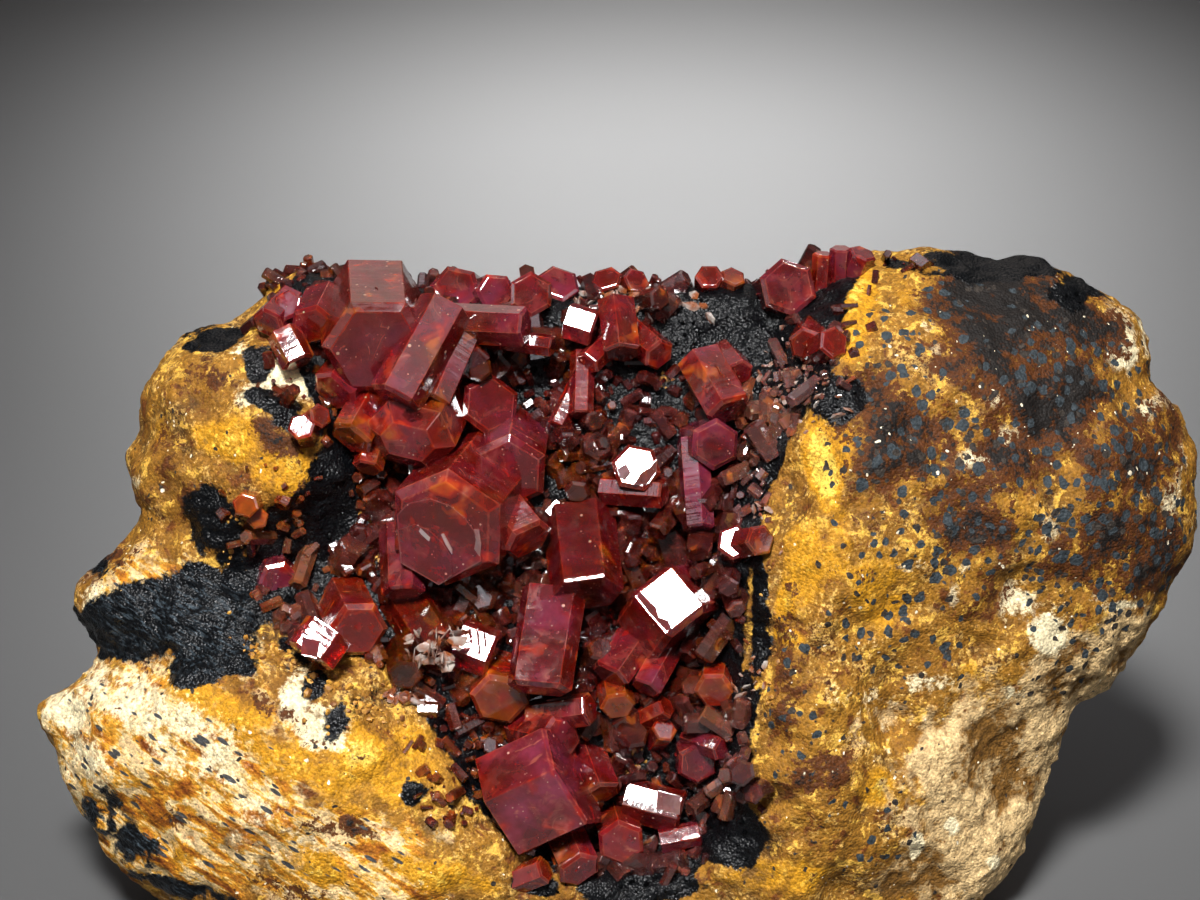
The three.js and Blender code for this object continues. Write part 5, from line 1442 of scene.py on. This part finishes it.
large_sown, fine_sown, crust_sown, crumbs_sown, chips_sown = (
    sow(*bed) for bed in (
        # name, thickness, shapes, material, spacing, smallest, largest (mm), tilt (degrees), stretch, seed
        ("small_crystals_over_vug", growing, hexagons, small_red, 1.6, 1.5, 3.0, 75, 1.15, 3),
        ("fine_crystals_over_vug", 0.7 * growing, hexagons, small_red, 0.9, 0.6, 1.5, 80, 1.4, 8),
        ("manganese_crust_grains", crust_mask, grains, crust_grain, 0.95, 0.2, 0.8, 90, 1.0, 5),
        ("ochre_crumbs_in_vug", blobs(CRUMBS, u, v) * open_face, grains, crumb, 0.55, 0.3, 1.0, 90, 1.0, 6),
        ("splinters_over_vug", blobs(SHARDS, u, v) * open_face, chips, splinter, 0.7, 0.8, 2.3, 90, 1.2, 7),
    )
)
thin_out(large_sown)
thin_out(fine_sown)

# The clear and the pale crystal are broken off: each fracture is a heap of glassy splinters.
FRACTURES = [  # middle and reach in u, v, w, and how many splinters
    ((-14.8, 22.9, 8.2), (2.4, 1.6, 0.6), 44),
    ((-17.2, 19.6, 7.4), (1.5, 1.4, 0.6), 30),
]
rng = random.Random(21)
bm = bmesh.new()
for middle, reaches, count in FRACTURES:
    for _ in range(count):
        shape = grain(rng.randrange(1000), 1)
        flattened = (rng.uniform(0.9, 2.2), rng.uniform(0.5, 1.1), rng.uniform(0.12, 0.3), 1)
        shape.transform(Matrix.Diagonal(flattened))
        at = to_world(*(c + rng.uniform(-1, 1) * reach for c, reach in zip(middle, reaches)))
        turn = Matrix.Rotation(rng.uniform(0, 6), 4, "X") @ Matrix.Rotation(rng.uniform(0, 6), 4, "Y")
        shape.transform(Matrix.Translation(at) @ turn @ Matrix.Scale(rng.uniform(0.7, 1.5) * MM, 4))
        bm.from_mesh(shape)
fracture = piece("fracture_of_clear_crystal", finish_crystals(bm, "fracture_of_clear_crystal"))
fracture.data.materials.append(splinter)

# ---- the rock's own piece ----
for name, values in fields.items():
    rock.attributes.new(name, "FLOAT", "POINT").data.foreach_set("value", values.astype(np.float32))
rock.name = "limonite_matrix"
rock_piece = piece("limonite_matrix", rock)
rock.materials.clear()
rock.materials.append(rock_stone)

pieces += [
    (rock_piece, ["matrix_rock"], "limonite"),
    (large_sown, DRUSE_BEDS, "small_vanadinite"),
    (fine_sown, [], "small_vanadinite"),
    (crust_sown, [], "limonite"),
    (crumbs_sown, [], "limonite"),
    (chips_sown, [], "small_vanadinite"),
    (fracture, [], "small_vanadinite"),
]
for made, nodes, slot in pieces:
    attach(made, "root")
    if nodes:
        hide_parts(*nodes)

# ---- floor, lights and camera ----
floor_mesh = bpy.data.meshes.new("studio_floor")
FLOOR = 4.0  # half the floor's width in metres
PALEST = (0.008, 0.25, 0)  # painted pool of light: the paper is palest here, behind the specimen, and shades to a deeper grey
PALE_REACH = (0.13, 0.3, 1)
floor_mesh.from_pydata(
    [(-FLOOR, -FLOOR, 0), (FLOOR, -FLOOR, 0), (FLOOR, FLOOR, 0), (-FLOOR, FLOOR, 0)], [], [(0, 1, 2, 3)])
floor = piece("studio_floor", floor_mesh)
# Matt studio paper without highlights, grey with a painted pool of light, palest behind the specimen.
paper, tree, place = new_material("pale_paper")
spot = add(tree, "ShaderNodeMapping", {
    "Vector": place, "Location": PALEST, "Scale": PALE_REACH,
}, vector_type="TEXTURE").outputs[0]
fade = add(tree, "ShaderNodeTexGradient", {"Vector": spot}, gradient_type="SPHERICAL")
fade = add(tree, "ShaderNodeMapRange", {
    "Value": fade.outputs["Fac"], "From Max": 0.9,
}, interpolation_type="SMOOTHSTEP")
shade = add(tree, "ShaderNodeMix", {
    0: fade.outputs[0], 6: linear("#5a5a5a"), 7: linear("#bababa"),
}, data_type="RGBA").outputs[2]
matt = add(tree, "ShaderNodeBsdfPrincipled", {"Base Color": shade, "Roughness": 0.9})
add(tree, "ShaderNodeOutputMaterial", {"Surface": matt.outputs[0]})
floor_mesh.materials.append(paper)

AIM = to_world(0, 28, 2)


def softbox(name, toward, distance, size, power, spread=180, aim=AIM, colour=(1, 1, 1)):
    """A square soft light that looks at the specimen from the direction `toward`."""
    lamp = bpy.data.lights.new(name, "AREA")
    lamp.shape = "SQUARE"
    lamp.size = size
    lamp.energy = power
    lamp.color = colour
    lamp.spread = math.radians(spread)
    made = bpy.data.objects.new(name, lamp)
    away = Vector(toward).normalized()
    made.location = aim + away * distance
    made.rotation_euler = away.to_track_quat("Z", "Y").to_euler()
    bpy.context.scene.collection.objects.link(made)


softbox("key_softbox", (-0.077, -0.605, 0.792), 0.9, 0.17, 0.29, spread=22)
softbox("overhead_panel", (0.03, 0.5, 0.86), 0.8, 0.7, 0.42)
softbox("back_card", (0.03, 0.87, 0.49), 0.8, 0.36, 0.24, colour=(1, 0.86, 0.78))
softbox("left_panel", (-0.9, -0.35, 0.3), 0.8, 0.4, 0.15)
softbox("right_panel", (0.9, -0.2, 0.35), 0.8, 0.4, 0.15)
# Small white cards round the specimen give its faces their grey-lilac sheen.
for name, toward in (
    ("card_upper_left", (-0.55, -0.45, 0.7)), ("card_upper_right", (0.6, -0.3, 0.75)),
    ("card_above", (-0.2, 0.25, 0.95)), ("card_left", (-0.88, -0.35, 0.3)),
    ("card_front", (0.3, -0.92, 0.25)), ("card_right", (0.85, -0.5, 0.3)),
):
    softbox(name, toward, 0.8, 0.16, 0.1, colour=(0.92, 0.9, 1))
softbox("broad_glow", (0.14, -0.46, 0.88), 0.8, 0.4, 0.26, colour=(0.95, 0.92, 1))
softbox("background_pool", (0, 0.05, 1), 0.6, 0.05, 0.075, spread=30, aim=Vector((0.005, 0.26, 0)))

world = bpy.data.worlds.new("studio_air")
world.use_nodes = True
world.node_tree.nodes["Background"].inputs["Color"].default_value = linear("#b8b8b8")
world.node_tree.nodes["Background"].inputs["Strength"].default_value = 0.14
bpy.context.scene.world = world
bpy.context.scene.view_settings.view_transform = "Standard"

CAMERA_DISTANCE = 0.36
FOCAL_LENGTH = 120
lens = bpy.data.cameras.new("camera")
lens.lens = FOCAL_LENGTH
lens.sensor_width = 36
lens.clip_start = 0.01
camera = bpy.data.objects.new("camera", lens)
camera.location = to_world(0, 40.5, 2) + OUT * CAMERA_DISTANCE
camera.rotation_euler = (math.pi / 2 - LEAN, 0, 0)
bpy.context.scene.collection.objects.link(camera)
bpy.context.scene.camera = camera
